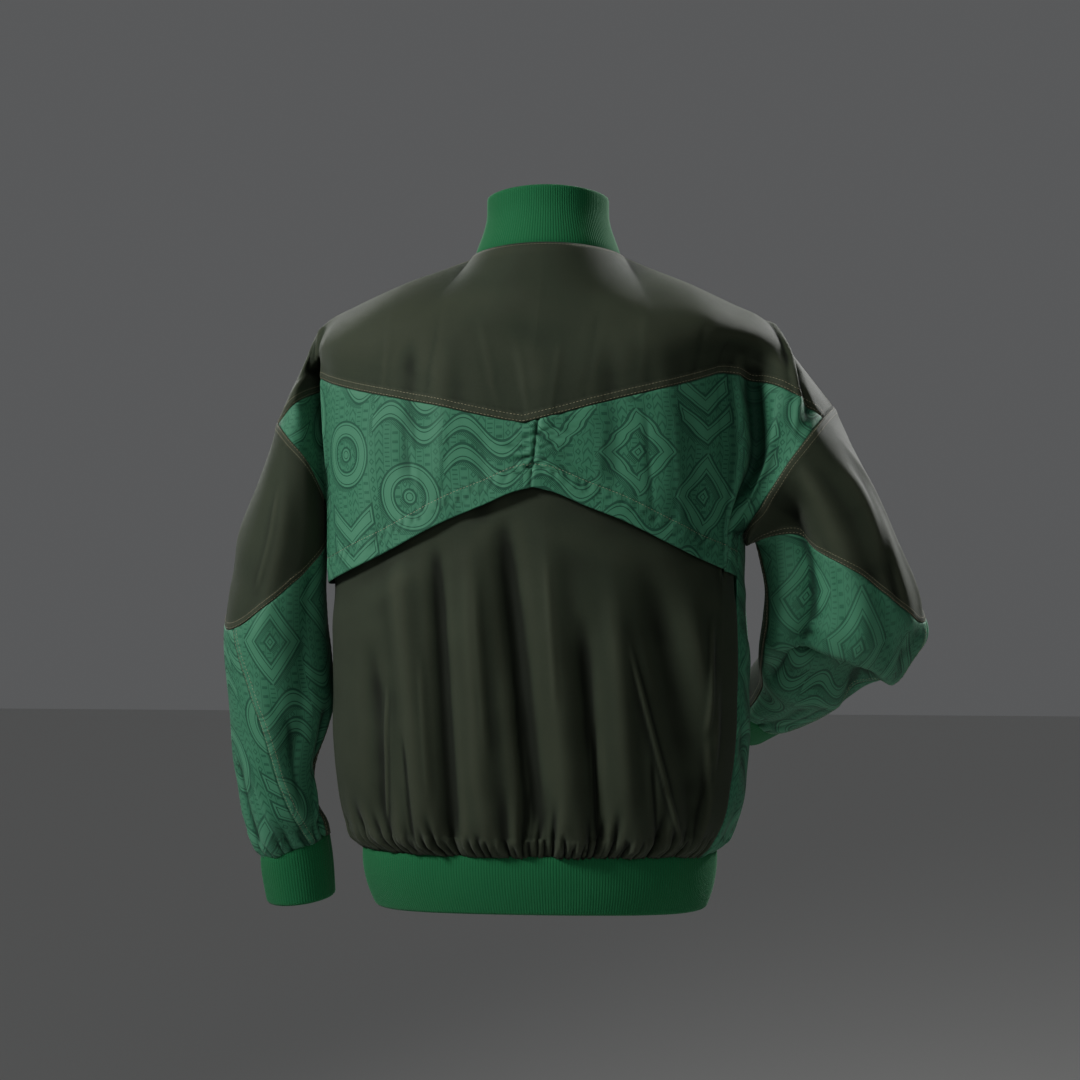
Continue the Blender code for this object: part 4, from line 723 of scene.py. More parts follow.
class Field:
    """A number that changes over the surface."""

    def __init__(self, tree, socket):
        self.tree, self.socket = tree, socket

    def math(self, operation, *others):
        node = self.tree.nodes.new("ShaderNodeMath")
        node.operation = operation
        for entry, value in zip(node.inputs, (self,) + others):
            if isinstance(value, Field):
                self.tree.links.new(value.socket, entry)
            else:
                entry.default_value = value
        return Field(self.tree, node.outputs[0])

    def __add__(self, other):
        return self.math("ADD", other)

    def __sub__(self, other):
        return self.math("SUBTRACT", other)

    def __mul__(self, other):
        return self.math("MULTIPLY", other)

    def __truediv__(self, other):
        return self.math("DIVIDE", other)

    def size(self):
        return self.math("ABSOLUTE")

    def below(self, other):
        return self.math("LESS_THAN", other)

    def above(self, other):
        return self.math("GREATER_THAN", other)

    def least(self, other):
        return self.math("MINIMUM", other)

    def most(self, other):
        return self.math("MAXIMUM", other)

    def floor(self):
        return self.math("FLOOR")

    def part(self):
        """What is left over a whole number."""
        return self.math("FRACT")

    def wave(self):
        return self.math("SINE")


def new_cloth(name, colour, roughness, sheen):
    """A principled material, its shader and the two UV directions, in metres."""
    material = bpy.data.materials.new(name)
    material.use_nodes = True
    tree = material.node_tree
    shader = tree.nodes["Principled BSDF"]
    shader.inputs["Base Color"].default_value = (*colour, 1)
    shader.inputs["Roughness"].default_value = roughness
    shader.inputs["Specular IOR Level"].default_value = 0.18
    shader.inputs["Sheen Weight"].default_value = sheen
    shader.inputs["Sheen Roughness"].default_value = 0.4
    uv = tree.nodes.new("ShaderNodeUVMap")
    uv.uv_map = "cloth"
    split = tree.nodes.new("ShaderNodeSeparateXYZ")
    tree.links.new(uv.outputs[0], split.inputs[0])
    return material, tree, shader, Field(tree, split.outputs[0]), Field(tree, split.outputs[1])


def noise(tree, scale, detail=3.0):
    """Uneven tone between 0 and 1, fixed to the piece."""
    place = tree.nodes.new("ShaderNodeTexCoord")
    node = tree.nodes.new("ShaderNodeTexNoise")
    node.inputs["Scale"].default_value = scale
    node.inputs["Detail"].default_value = detail
    tree.links.new(place.outputs["Object"], node.inputs["Vector"])
    return Field(tree, node.outputs["Fac"])


def measured(tree, name):
    """A value that each panel carries for every point, such as how much paler its seam edges are painted."""
    node = tree.nodes.new("ShaderNodeAttribute")
    node.attribute_name = name
    return Field(tree, node.outputs["Fac"])


def paint_crease_shade_and_ridge_highlight(tree, colour, deep, pale):
    """Painted shade darkens creases towards deep, and a painted highlight pales ridges towards pale."""
    colour = blend_colours(tree, measured(tree, "hollow") * 0.8, colour, deep)
    return blend_colours(tree, measured(tree, "ridge") * 0.22, colour, pale)


def blend_colours(tree, amount, first, second):
    """first where amount is 0, second where it is 1. Each is a colour or the output of another blend."""
    node = tree.nodes.new("ShaderNodeMix")
    node.data_type = "RGBA"
    tree.links.new(amount.socket, node.inputs[0])
    for entry, colour in ((node.inputs[6], first), (node.inputs[7], second)):
        if isinstance(colour, tuple):
            entry.default_value = (*colour, 1)
        else:
            tree.links.new(colour, entry)
    return node.outputs[2]


def add_relief(tree, shader, height, depth):
    """Bump from a height between 0 and 1, of this depth in metres."""
    node = tree.nodes.new("ShaderNodeBump")
    node.inputs["Strength"].default_value = 1.0
    node.inputs["Distance"].default_value = depth
    tree.links.new(height.socket, node.inputs["Height"])
    tree.links.new(node.outputs[0], shader.inputs["Normal"])


# %% [markdown]
# The plain cloth is a tight weave of fine yarn. It is dark olive and crisp, with a soft sheen where
# light grazes it. A fine weave in the bump, a slightly uneven tone and seam edges painted paler, partly
# as wear and partly as painted highlight, keep it from looking like paint. Painted shade darkens its
# creases and a painted highlight pales its ridges.

# %% Woven cloth
YARN = 0.00055
# the third colour is the painted ridge highlight, and the paler seam edges, partly wear and partly painted
# highlight
OLIVE, OLIVE_DEEP, OLIVE_WORN_AND_HIGHLIGHT = (0.031, 0.042, 0.025), (0.021, 0.029, 0.017), (0.070, 0.078, 0.050)


def weave_height(u, v):
    across = (u * (2 * math.pi / YARN)).wave()
    along = (v * (2 * math.pi / YARN)).wave()
    return across * along * 0.25 + 0.5


def make_woven(name, light, dark, worn, roughness):
    material, tree, shader, u, v = new_cloth(name, light, roughness, 0.06)
    tone = noise(tree, 22.0, 5.0) * 0.9 + noise(tree, 420.0, 2.0) * 0.5 - 0.2
    colour = blend_colours(tree, tone, dark, light)
    # painted shade: creases darken to a quarter of the dark tone; painted highlight: ridges pale towards worn
    colour = paint_crease_shade_and_ridge_highlight(tree, colour, tuple(0.25 * part for part in dark), worn)
    # seam edges pale towards worn, partly as wear and partly as painted highlight
    colour = blend_colours(tree, measured(tree, "wear_and_highlight") * noise(tree, 160.0, 2.0) * 0.9, colour, worn)
    tree.links.new(colour, shader.inputs["Base Color"])
    add_relief(tree, shader, weave_height(u, v) + noise(tree, 900.0, 2.0) * 0.5, 0.00018)
    return material


woven_olive = make_woven("woven_olive", OLIVE, OLIVE_DEEP, OLIVE_WORN_AND_HIGHLIGHT, 0.72)

# %% [markdown]
# The printed cloth carries a generic print in four greens. Small marks stand in upright columns, and
# large targets, chevrons, diamonds and waves with an outline and a hatched shadow lie over them. A
# print is drawn here by distance: for each point the nodes work out how far it is from a shape's middle
# line, and every line or filling is a band of that.

# %% Printed cloth
MARK = 0.0092                                   # one column of small marks
MOTIF_WIDTH, MOTIF_HEIGHT = 0.080, 0.088        # one cell of a large motif
PRINT_GROUND, PRINT_MARK = (0.040, 0.165, 0.090), (0.015, 0.086, 0.048)
PRINT_MOTIF, PRINT_LINE = (0.054, 0.200, 0.112), (0.010, 0.060, 0.034)


def small_marks(u, v):
    """1 on the lines of the small marks: zigzags, diamonds, dashes and rungs, column by column."""
    column = (u / MARK).floor()
    x = (u / MARK).part() - 0.5
    shifted = v / MARK + column * 0.37
    y = shifted.part() - 0.5
    kind = (column * 0.25).part()
    zigzag = ((shifted + x.size() * 1.4).part() - 0.5).size().below(0.15)
    reach = x.size() * 1.25 + y.size()
    diamond = reach.below(0.42) * reach.above(0.2)
    dash = y.size().below(0.16) * x.size().below(0.34)
    rung = ((shifted * 2.0).part() - 0.5).size().below(0.17) * x.size().below(0.3)
    first, second = kind.below(0.2), kind.below(0.45)
    third = kind.below(0.7)
    pick = zigzag * first + diamond * (second - first) + dash * (third - second) + rung * (third * -1.0 + 1.0)
    rule = x.size().above(0.462)
    return pick.most(rule)


def motif_distance(u, v):
    """Metres outside the nearest target, pair of chevrons, diamond or wave, and below 0 inside it."""
    column = (u / MOTIF_WIDTH).floor()
    x = ((u / MOTIF_WIDTH).part() - 0.5) * MOTIF_WIDTH
    shifted = v / MOTIF_HEIGHT + column * 0.5
    row = shifted.floor()
    y = (shifted.part() - 0.5) * MOTIF_HEIGHT
    kind = ((column + row * 3.0) * 0.25 + 0.01).part()
    radius = (x * x + y * y).math("POWER", 0.5)
    target = ((radius - 0.026).size() - 0.0080).least(radius - 0.0075)
    fold = y - x.size() * 0.7
    chevrons = ((fold + 0.026).size().least((fold - 0.004).size()) * 0.82 - 0.0080).most(x.size() - 0.034)
    slope = x.size() + y.size() * 0.9
    diamond = ((slope - 0.031).size() * 0.74 - 0.0075).least(slope * 0.74 - 0.0060)
    bend = ((x * (2 * math.pi / MOTIF_WIDTH)).wave() * 0.014)
    wave = (y - bend - 0.016).size().least((y - bend + 0.014).size()) * 0.8 - 0.0070
    second, third, fourth = kind.above(0.2), kind.above(0.45), kind.above(0.7)
    return (target * (second * -1.0 + 1.0) + chevrons * (second - third) + diamond * (third - fourth)
            + wave * fourth)


def make_print(name):
    material, tree, shader, u, v = new_cloth(name, PRINT_GROUND, 0.66, 0.03)
    here = motif_distance(u, v)
    shadow = motif_distance(u - 0.0042, v + 0.0042)
    hatch = (((u + v) / 0.0021).part() - 0.5).size().below(0.26)
    inside = here.below(0.0)
    outline = here.size().below(0.0011).most((here + 0.0036).size().below(0.0005))
    in_shadow = shadow.below(0.0) * (inside * -1.0 + 1.0)
    colour = blend_colours(tree, small_marks(u, v) * 0.85, PRINT_GROUND, PRINT_MARK)
    colour = blend_colours(tree, in_shadow, colour, PRINT_GROUND)
    colour = blend_colours(tree, in_shadow * hatch, colour, PRINT_LINE)
    colour = blend_colours(tree, inside, colour, PRINT_MOTIF)
    colour = blend_colours(tree, outline, colour, PRINT_LINE)
    # random fading, and seam edges painted paler, partly as wear and partly as painted highlight
    fade_and_highlight = noise(tree, 30.0, 5.0) * 0.28 + measured(tree, "wear_and_highlight") * 0.12
    colour = blend_colours(tree, fade_and_highlight, colour, (0.052, 0.150, 0.095))
    # painted shade darkens creases and a painted highlight pales ridges
    colour = paint_crease_shade_and_ridge_highlight(tree, colour, (0.006, 0.030, 0.018), (0.095, 0.270, 0.165))
    tree.links.new(colour, shader.inputs["Base Color"])
    add_relief(tree, shader, weave_height(u, v) + noise(tree, 900.0, 2.0) * 0.5, 0.00016)
    return material


printed_green = make_print("printed_green")

# %% [markdown]
# The rib knit is matte and soft. Its ribs are real waves in the mesh. The bump only adds the rows of
# small V-shaped stitches on each rib. Painted shade darkens the colour in the grooves between ribs and
# along the sunken seams, where the attribute "groove" says how deep.

# %% Rib knit
RIB_PITCH = 0.0029
# the middle colour is painted shade for the grooves and sunken seams
RIB_GREEN, RIB_GROOVE_SHADE, RIB_PALE = (0.008, 0.112, 0.038), (0.004, 0.054, 0.018), (0.018, 0.150, 0.058)


def make_knit(name):
    material, tree, shader, u, v = new_cloth(name, RIB_GREEN, 0.85, 0.10)
    x = ((u / RIB_PITCH).part() - 0.5).size()
    stitch = ((v / 0.0016 + x * 1.3) * (2 * math.pi)).wave() * 0.5 + 0.5
    colour = blend_colours(tree, noise(tree, 14.0, 4.0) * 0.5 + stitch * 0.2, RIB_GREEN, RIB_PALE)
    # painted shade darkens the grooves between ribs and the sunken seams
    colour = blend_colours(tree, measured(tree, "groove") * 0.36, colour, RIB_GROOVE_SHADE)
    tree.links.new(colour, shader.inputs["Base Color"])
    add_relief(tree, shader, stitch * 0.7 + noise(tree, 1500.0, 2.0) * 0.6, 0.00022)
    return material


rib_knit = make_knit("rib_knit")

# %% [markdown]
# Sewing thread is a little paler than the cloth and has a slight shine. The zip's teeth are moulded
# plastic and its slider is dark plated metal, rubbed paler in places.

# %% Thread, tape, teeth and metal


def make_plain(name, colour, worn, roughness, metallic, scale):
    material = bpy.data.materials.new(name)
    material.use_nodes = True
    tree = material.node_tree
    shader = tree.nodes["Principled BSDF"]
    shader.inputs["Roughness"].default_value = roughness
    shader.inputs["Metallic"].default_value = metallic
    tree.links.new(blend_colours(tree, noise(tree, scale, 4.0), colour, worn), shader.inputs["Base Color"])
    add_relief(tree, shader, noise(tree, scale * 6, 2.0), 0.00005)
    return material


thread_tan = make_plain("thread_tan", (0.24, 0.215, 0.135), (0.33, 0.30, 0.20), 0.55, 0.0, 300.0)
tape_dark = make_woven("tape_dark", (0.022, 0.027, 0.021), (0.014, 0.018, 0.014), (0.03, 0.036, 0.03), 0.8)
teeth_dark = make_plain("teeth_dark", (0.018, 0.019, 0.017), (0.035, 0.036, 0.033), 0.38, 0.0, 200.0)
slider_metal = make_plain("slider_metal", (0.10, 0.10, 0.095), (0.22, 0.215, 0.20), 0.32, 1.0, 120.0)
print("materials:", [material.name for material in bpy.data.materials])

# %% [markdown]
# ## Panels
# A panel is a grid of points, so the same steps finish each one: the points move out along the surface
# by the height of its folds, its edges are shaped by how they are sewn, and Solidify gives the cloth
# its wall.

# %% Grids and edges
Panel = namedtuple("Panel", "points normals item")
OVERHANG = 2.8              # how far gathered cloth hangs over the rib's top
EDGE_ROW, SECOND_ROW, HEM_ROW, NECK_ROW = 1.6, 7.2, 25.0, 2.2       # rows of stitches, from the edge
HOLLOW_SCALES = ((3.0, 0.55), (10.0, 2.6))      # a reach along the cloth, and the depth that is fully shaded


def arc(points, axis):
    """How far each point of a grid lies along its line, in millimetres."""
    steps = np.linalg.norm(np.diff(points, axis=axis), axis=-1)
    start = np.zeros_like(np.take(steps, [0], axis=axis))
    return np.concatenate([start, np.cumsum(steps, axis=axis)], axis=axis)


def edge_distances(points):
    along, across = arc(points, 1), arc(points, 0)
    return {"top": along, "bottom": along[:, -1:] - along, "first": across, "last": across[-1:] - across}


def grid_normals(points, outward):
    down, side = np.gradient(points, axis=1), np.gradient(points, axis=0)
    normal = unit(np.cross(down, side))
    return normal * np.where((normal * outward).sum(-1, keepdims=True) < 0, -1.0, 1.0)


def edge_relief(points, edges):
    """Height from how each edge is sewn, and how much paler the cloth is painted there, partly as wear and
    partly as painted highlight.
    """
    distances = edge_distances(points)
    height, wear_and_highlight = np.zeros(points.shape[:2]), np.zeros(points.shape[:2])
    for edge, kind in edges.items():
        away = distances[edge]
        run = arc(points, 0 if edge in ("top", "bottom") else 1)
        uneven = ripple(run, 0 * run, 23, 12.0)
        if kind in ("sewn", "stitched"):
            height -= 0.75 * bump(away, 1.5)
        if kind == "stitched":
            band = 1 - ease(7.5, 10.5, away)
            pucker = np.cos(2 * math.pi * run / 8.3 + 2.2 * uneven) * band * ease(0.5, 3.0, away)
            pulled_in = bump(away - EDGE_ROW, 0.7) + bump(away - SECOND_ROW, 0.7)
            height += 0.42 * band + 0.20 * pucker - 0.22 * pulled_in
            # the seam's edge and raised band are painted paler, partly as wear and partly as painted
            # highlight
            wear_and_highlight = np.maximum(wear_and_highlight, 0.8 * bump(away - 0.8, 1.2) + 0.25 * band)
        if kind == "turned":
            band = 1 - ease(23.5, 26.5, away)
            height += 0.45 * band - 0.35 * bump(away - HEM_ROW, 1.1) - 0.4 * bump(away, 0.9)
            height += 0.45 * np.cos(2 * math.pi * run / 12.5 + 2.5 * uneven) * bump(away - 20.0, 9.0)
            # the hem's fold and stitch row are painted paler, partly as wear and partly as painted highlight
            wear_and_highlight = np.maximum(wear_and_highlight, bump(away, 1.6) + 0.2 * bump(away - HEM_ROW, 1.5))
        if kind == "gathered":
            height -= 0.5 * bump(away, 1.6)
    return height, np.clip(wear_and_highlight, 0, 1)


def neighbours(points, shift, axis, closed):
    if closed and axis == 0:
        return np.roll(points, shift, axis=0), np.roll(points, -shift, axis=0)
    last = points.shape[axis] - 1
    index = np.arange(last + 1)
    return (np.take(points, np.maximum(index - shift, 0), axis=axis),
            np.take(points, np.minimum(index + shift, last), axis=axis))


def hollows(points, normals, closed):
    """How far each point lies in a hollow, from -1 on a ridge to 1 in a crease."""
    total = np.zeros(points.shape[:2])
    for axis in (0, 1):
        spacing = np.median(np.linalg.norm(np.diff(points, axis=axis), axis=-1))
        for reach, full in HOLLOW_SCALES:
            shift = max(1, round(reach / spacing))
            before, after = neighbours(points, shift, axis, closed)
            total += np.clip((((before + after) / 2 - points) * normals).sum(-1) / full, -1, 1) * 0.6
    return np.clip(total, -1, 1)


def sheet_object(name, points, normals, flat, wall, material, closed=False, values=None):
    """A grid made into a sheet with its wall. flat holds each point's place on the flat cloth, in metres."""
    across, down = points.shape[:2]
    columns = across if closed else across - 1
    i, j = np.meshgrid(np.arange(columns), np.arange(down - 1), indexing="ij")

    def faces(beside):
        """Corners of all faces, where beside holds the next column."""
        corners = (i * down + j, i * down + j + 1, beside * down + j + 1, beside * down + j)
        return np.stack(corners, -1).reshape(-1, 4)

    corners, flat_corners = faces((i + 1) % across), faces(i + 1)
    middle = (across // 2, down // 2)
    below, beside = points[middle[0], middle[1] + 1], points[middle[0] + 1, middle[1]]
    turned = np.cross(below - points[middle], beside - points[middle])
    if np.dot(turned, normals[middle]) < 0:
        corners, flat_corners = corners[:, ::-1], flat_corners[:, ::-1]
    mesh = bpy.data.meshes.new(name)
    mesh.from_pydata((points.reshape(-1, 3) * MM).tolist(), [], corners.tolist())
    layer = mesh.uv_layers.new(name="cloth")
    layer.data.foreach_set("uv", flat.reshape(-1, 2)[flat_corners.reshape(-1)].ravel())
    for key, value in (values or {}).items():
        mesh.attributes.new(key, "FLOAT", "POINT").data.foreach_set("value", np.ravel(value))
    mesh.shade_smooth()
    mesh.update()
    item = bpy.data.objects.new(name, mesh)
    bpy.context.scene.collection.objects.link(item)
    mesh.materials.append(material)
    thick = item.modifiers.new("wall", "SOLIDIFY")
    thick.thickness = wall * MM
    thick.offset = 0.0
    return item


def make_panel(name, points, outward, flat, material, edges, closed=False):
    """A panel from its folded points: sewn edges, then a wall that faces outwards."""
    normals = grid_normals(points, outward)
    if closed:
        turned = np.roll(points, -1, axis=0) - np.roll(points, 1, axis=0)
        normals = unit(np.cross(np.gradient(points, axis=1), turned))
        normals *= np.where((normals * outward).sum(-1, keepdims=True) < 0, -1.0, 1.0)
    relief, wear_and_highlight = edge_relief(points, edges)
    moved = points + normals * relief[..., None]
    if edges.get("bottom") == "gathered":       # it hangs a little over the rib's top
        down = unit(points[:, -1:] - points[:, -2:-1])
        moved += down * (OVERHANG * bump(edge_distances(points)["bottom"], 4.0))[..., None]
    # hollow and ridge set the painted shade in creases and the painted highlight on ridges
    hollow = hollows(moved, normals, closed)
    item = sheet_object(name, moved, normals, flat, WALL, material, closed,
                        {"wear_and_highlight": wear_and_highlight, "hollow": np.maximum(hollow, 0), "ridge": np.maximum(-hollow, 0)})
    print(f"{name}: {len(item.data.polygons)} faces, {arc(moved, 1)[:, -1].mean():.0f} mm long")
    return Panel(moved, normals, item)


# %% [markdown]
# ## The back
# Three panels make the back. The yoke covers the shoulders and ends in a shallow V. The printed storm
# flap hangs from that seam with a free hem cut as an upturned V. The plain lower back comes out from
# under it and is gathered into the hem rib.

# %% Back panels
Q_HALF = np.concatenate([0.12 * np.linspace(0, 1, 23) ** 1.13, np.linspace(0.12, 0.5, 27)[1:],
                         np.linspace(0.5, 1, 41)[1:], np.linspace(1, 2, 53)[1:]])
Q_GATHERED = np.concatenate([np.linspace(0, 1, 141) ** 1.12, np.linspace(1, 2, 41)[1:]])
FLAP_LIFT, LOBE_LIFT, FLAP_FLARE = 2.8, 1.0, 4.5


def half_of_body(side, branch, q, level, lift=0.0, gathered=False):
    q, level = np.broadcast_arrays(q, level)
    point = body_plain(side, branch, q, level)
    normal = body_normal(side, branch, q, level)
    height = body_height(branch, point, q, level, gathered) + lift
    return point + normal * height[..., None], normal


def whole_back(level_of, lift_of=None, columns=Q_HALF, gathered=False):
    """Points and normals of a panel across the back, the wearer's right first."""
    halves = {}
    for side in SIGN:
        q = columns[:, None]
        level = level_of(side, q)
        lift = lift_of(side, q, level) if lift_of else 0.0
        halves[side] = half_of_body(side, "back", q, level, lift, gathered)
    return [np.concatenate([right[:0:-1], left]) for right, left in zip(halves["right"], halves["left"])]


def upright_flat(points):
    """The flat place of an upright panel: across from its middle, and height."""
    across = arc(points, 0)
    middle = across[len(across) // 2]
    return np.stack([(across - middle) * MM, points[..., 2] * MM], -1)


def down_flat(points):
    """The flat place of a panel that lies over the shoulder: across, and down from its top edge."""
    across, down = arc(points, 0), arc(points, 1)
    return np.stack([(across - across[len(across) // 2]) * MM, -down * MM], -1)


def flap_end(side, q):
    """The level where the flap ends at this q, found by halving."""
    low, high = np.full(np.shape(q), LEVEL_YOKE + 5), np.full(np.shape(q), 430.0)
    for _ in range(24):
        middle = (low + high) / 2
        point = body_plain(side, "back", q, middle)
        across = np.minimum(np.abs(point[..., 0] - FLAP_HEM_CENTRE_X), FLAP_HEM[-1].across)
        above = point[..., 2] > FLAP_HEM_TOP_Z - read(FLAP_HEM, "across", across, "drop")[..., 0]
        low, high = np.where(above, middle, low), np.where(above, high, middle)
    return (low + high) / 2


FLAP_END = {side: flap_end(side, Q_HALF[:, None]) for side in SIGN}
yoke_rows = np.concatenate([np.linspace(0, 160, 32), np.linspace(160, LEVEL_YOKE, 22)[1:]])[None, :]
points, normals = whole_back(lambda side, q: yoke_rows)
back_yoke = make_panel("back_yoke_cloth", points, normals, down_flat(points), woven_olive,
                       {"bottom": "stitched", "top": "sewn", "first": "sewn", "last": "sewn"})

# %% The storm flap, with its short gathered seam at centre back
RUCHE_TOP_Z, RUCHE_END_Z = -190.0, -241.0
flap_t = np.linspace(0, 1, 76)[None, :]
points, normals = whole_back(lambda side, q: LEVEL_YOKE + flap_t * (FLAP_END[side] - LEVEL_YOKE),
                             lambda side, q, level: FLAP_FLARE * flap_t**2 * (1 - ease(0.9, Q_EDGE, q)))
from_seam = points[..., 0] - 0.11 * (RUCHE_TOP_Z - points[..., 2])
pulled = 1 - ease(-(RUCHE_END_Z + 4), -(RUCHE_END_Z - 7), -points[..., 2])
beside = np.abs(from_seam)
crinkle = (ripple(0.5 * from_seam, 1.3 * points[..., 2] + 0.3 * beside, 31, 7.0)
           + 0.6 * ripple(from_seam, 2.1 * points[..., 2], 33, 7.0))
ruche = -3.0 * bump(from_seam, 1.5) + 3.0 * crinkle * np.exp(-beside / 15.0) * (1 - bump(from_seam, 2.0))
plain_seam = -1.6 * bump(from_seam, 1.7)
inner = 1 - ease(180, 320, np.abs(points[..., 0]))
hem_wave = 2.2 * flap_t**3 * ripple(points[..., 0], 0.3 * points[..., 2], 37, 30.0) * inner
points = points + normals * (pulled * ruche + (1 - pulled) * plain_seam + hem_wave)[..., None]
back_flap = make_panel("back_flap_cloth", points, normals, upright_flat(points), printed_green,
                       {"top": "sewn", "bottom": "turned", "first": "sewn", "last": "sewn"})


# %% The lower back
def lower_back_level(side, q):
    top = 197 + (LEVEL_PIT - 197) * ease(0.7, 1.3, q)
    return top + lower_t * (LEVEL_HEM - top)


def under_flap(side, q, level):
    depth = FLAP_LIFT + LOBE_LIFT * ease(1.25, 1.7, q)
    end = flap_end(side, q)
    return -depth * (1 - ease(end, end + 45, level))


lower_t = np.concatenate([np.linspace(0, 0.84, 58), np.linspace(0.84, 1.0, 35)[1:]])[None, :]
points, normals = whole_back(lower_back_level, under_flap, Q_GATHERED, gathered=True)
lower_back = make_panel("lower_back_cloth", points, normals, upright_flat(points), woven_olive,
                        {"bottom": "gathered", "first": "sewn", "last": "sewn"})

# %% [markdown]
# ## The fronts
# The front is hidden in this view, and the back tells how it is made: a plain yoke over the shoulder on
# each side and a printed front below it, gathered into the same rib and closed by a zip.

# %% Front panels
front_rows = np.concatenate([np.linspace(LEVEL_YOKE, 560, 80), np.linspace(560, LEVEL_HEM, 34)[1:]])[None, :]
Q_FRONT = np.concatenate([np.linspace(0, 1, 101), np.linspace(1, 2, 35)[1:]])
front_yokes, fronts = {}, {}
for side in SIGN:
    points, normals = half_of_body(side, "front", Q_HALF[:, None], yoke_rows)
    front_yokes[side] = make_panel(
        f"front_yoke_cloth_{side}", points, normals, down_flat(points), woven_olive,
        {"bottom": "stitched", "top": "sewn", "first": "stitched", "last": "sewn"})
    points, normals = half_of_body(side, "front", Q_FRONT[:, None], front_rows, gathered=True)
    fronts[side] = make_panel(f"front_cloth_{side}", points, normals, upright_flat(points), printed_green,
                              {"top": "sewn", "bottom": "gathered", "first": "stitched", "last": "sewn"})

# %% [markdown]
# ## The sleeves
# Each sleeve hangs from a dropped armhole. A slanting seam crosses it at the elbow. Below that seam a
# printed outer piece, a printed inner piece and a plain strip at the wrist's inner side run down to the
# gathers at the cuff.

# %% Sleeve panels
SLEEVE_TURNS = np.linspace(0, 1, 133)[:-1]


def sleeve_surface(side, turn, along):
    turn, along = np.broadcast_arrays(turn, along)
    normal = sleeve_normal(side, turn, along)
    height = sleeve_height(side, turn, along)
    return sleeve_plain(side, turn, along) + normal * height[..., None], normal


def closed_flat(points):
    """The flat place of a tube, with one more column than the tube has, for its own seam."""
    ring = np.concatenate([points, points[:1]])
    across = arc(ring, 0)
    down = arc(ring, 1)
    return np.stack([across * MM, -down * MM], -1)


upper_sleeves, lower_sleeves = {}, {}
for side in SIGN:
    down = np.linspace(0, 1, 72)[None, :]
    turns = SLEEVE_TURNS[:, None]
    points, normals = sleeve_surface(side, turns, down * elbow_along(side, turns))
    upper_sleeves[side] = make_panel(
        f"upper_sleeve_cloth_{side}", points, normals, closed_flat(points), woven_olive,
        {"top": "stitched", "bottom": "stitched"}, closed=True)
    end = SLEEVE[side][-1].along
    down = np.linspace(0, 1, 116)[None, :]
    panel_back, panel_front = PANEL_TURNS[side]
    for name, first, last, columns, material, edges in (
            ("lower_sleeve_inner", DIAGONAL_TURNS, panel_back, 42, printed_green, ("stitched", "sewn")),
            ("sleeve_panel", panel_back, panel_front, 34, woven_olive, ("stitched", "stitched")),
            ("lower_sleeve_outer", tuple(turn - 1 for turn in panel_front), DIAGONAL_TURNS, 76, printed_green,
             ("sewn", "sewn"))):
        starts = first[0] + (first[1] - first[0]) * down
        ends = last[0] + (last[1] - last[0]) * down
        turns = starts + (ends - starts) * np.linspace(0, 1, columns)[:, None]
        along = elbow_along(side, turns) * (1 - down) + end * down
        points, normals = sleeve_surface(side, turns, along)
        across = arc(points, 0)
        flat = np.stack([(across - across[len(across) // 2]) * MM, -along * MM], -1)
        lower_sleeves[name, side] = make_panel(f"{name}_cloth_{side}", points, normals, flat, material,
                                               {"top": "sewn", "bottom": "gathered", "first": edges[0],
                                                "last": edges[1]})

# %% [markdown]
# ## Rib knit
# Collar, hem rib and cuffs are double rib knit, folded at the free edge. Each rib is one wave of the
# surface, with four points to a wave, which is just enough for a round rib once the shading is smooth.

# %% Knit pieces
RIB_DEPTH = 0.24
PER_RIB = 4


def knit_piece(name, ring_at, first, last, drops, closed, fold_edge, joins=()):
    """ring_at(angles, drop) gives a ring. Ribs are spaced evenly along the first ring."""
    rough = np.linspace(first, last, 721)
    run = arc(ring_at(rough, drops[0])[:, None], 0)[:, 0]
    ribs = round(run[-1] / (RIB_PITCH / MM))
    even = np.interp(np.linspace(0, run[-1], ribs * PER_RIB + 1), run, rough)
    if closed:
        even = even[:-1]
    points = np.stack([ring_at(even, drop) for drop in drops], axis=1)
    centre = points.mean(axis=0, keepdims=True)
    outward = unit((points - centre) * np.array([1.0, 1.0, 0.2]))
    step = (np.roll(points, -1, 0) - np.roll(points, 1, 0)) if closed else np.gradient(points, axis=0)
    normals = unit(np.cross(np.gradient(points, axis=1), step))
    normals *= np.where((normals * outward).sum(-1, keepdims=True) < 0, -1.0, 1.0)
    phase = 2 * math.pi * np.arange(len(even)) / PER_RIB
    rib = np.cos(phase)[:, None] * np.ones(len(drops))
    away = edge_distances(points)
    seam, folded = away["top" if fold_edge == "bottom" else "bottom"], away[fold_edge]
    soft = ripple(arc(points, 0), arc(points, 1), 41, 46.0) * 0.8
    height = RIB_DEPTH * rib * (1 - 0.5 * bump(folded, 1.2)) + soft
    height = height - 1.1 * bump(seam, 2.2) - 0.5 * bump(folded, 0.9)
    # how much painted shade darkens the knit: in the grooves, at the seam and at joins
    groove = (1 - rib) / 2 + 0.5 * bump(seam, 1.8)
    for join in joins:
        near = arc(points, 0) - join * arc(points, 0)[-1:]
        height -= 0.9 * bump(near, 1.5)
        groove += 0.9 * bump(near, 1.3)
    moved = points + normals * height[..., None]
    unrolled = np.linspace(0, ribs * RIB_PITCH, len(even) + (1 if closed else 0))
    flat = np.stack([np.repeat(unrolled[:, None], len(drops), 1),
                     np.repeat(-arc(points, 1)[:1], len(unrolled), 0) * MM], -1)
    item = sheet_object(name, moved, normals, flat, KNIT_WALL, rib_knit, closed,
                        {"groove": np.clip(groove, 0, 1)})
    print(f"{name}: {ribs} ribs round {run[-1]:.0f} mm, {len(item.data.polygons)} faces")
    return Panel(moved, normals, item)


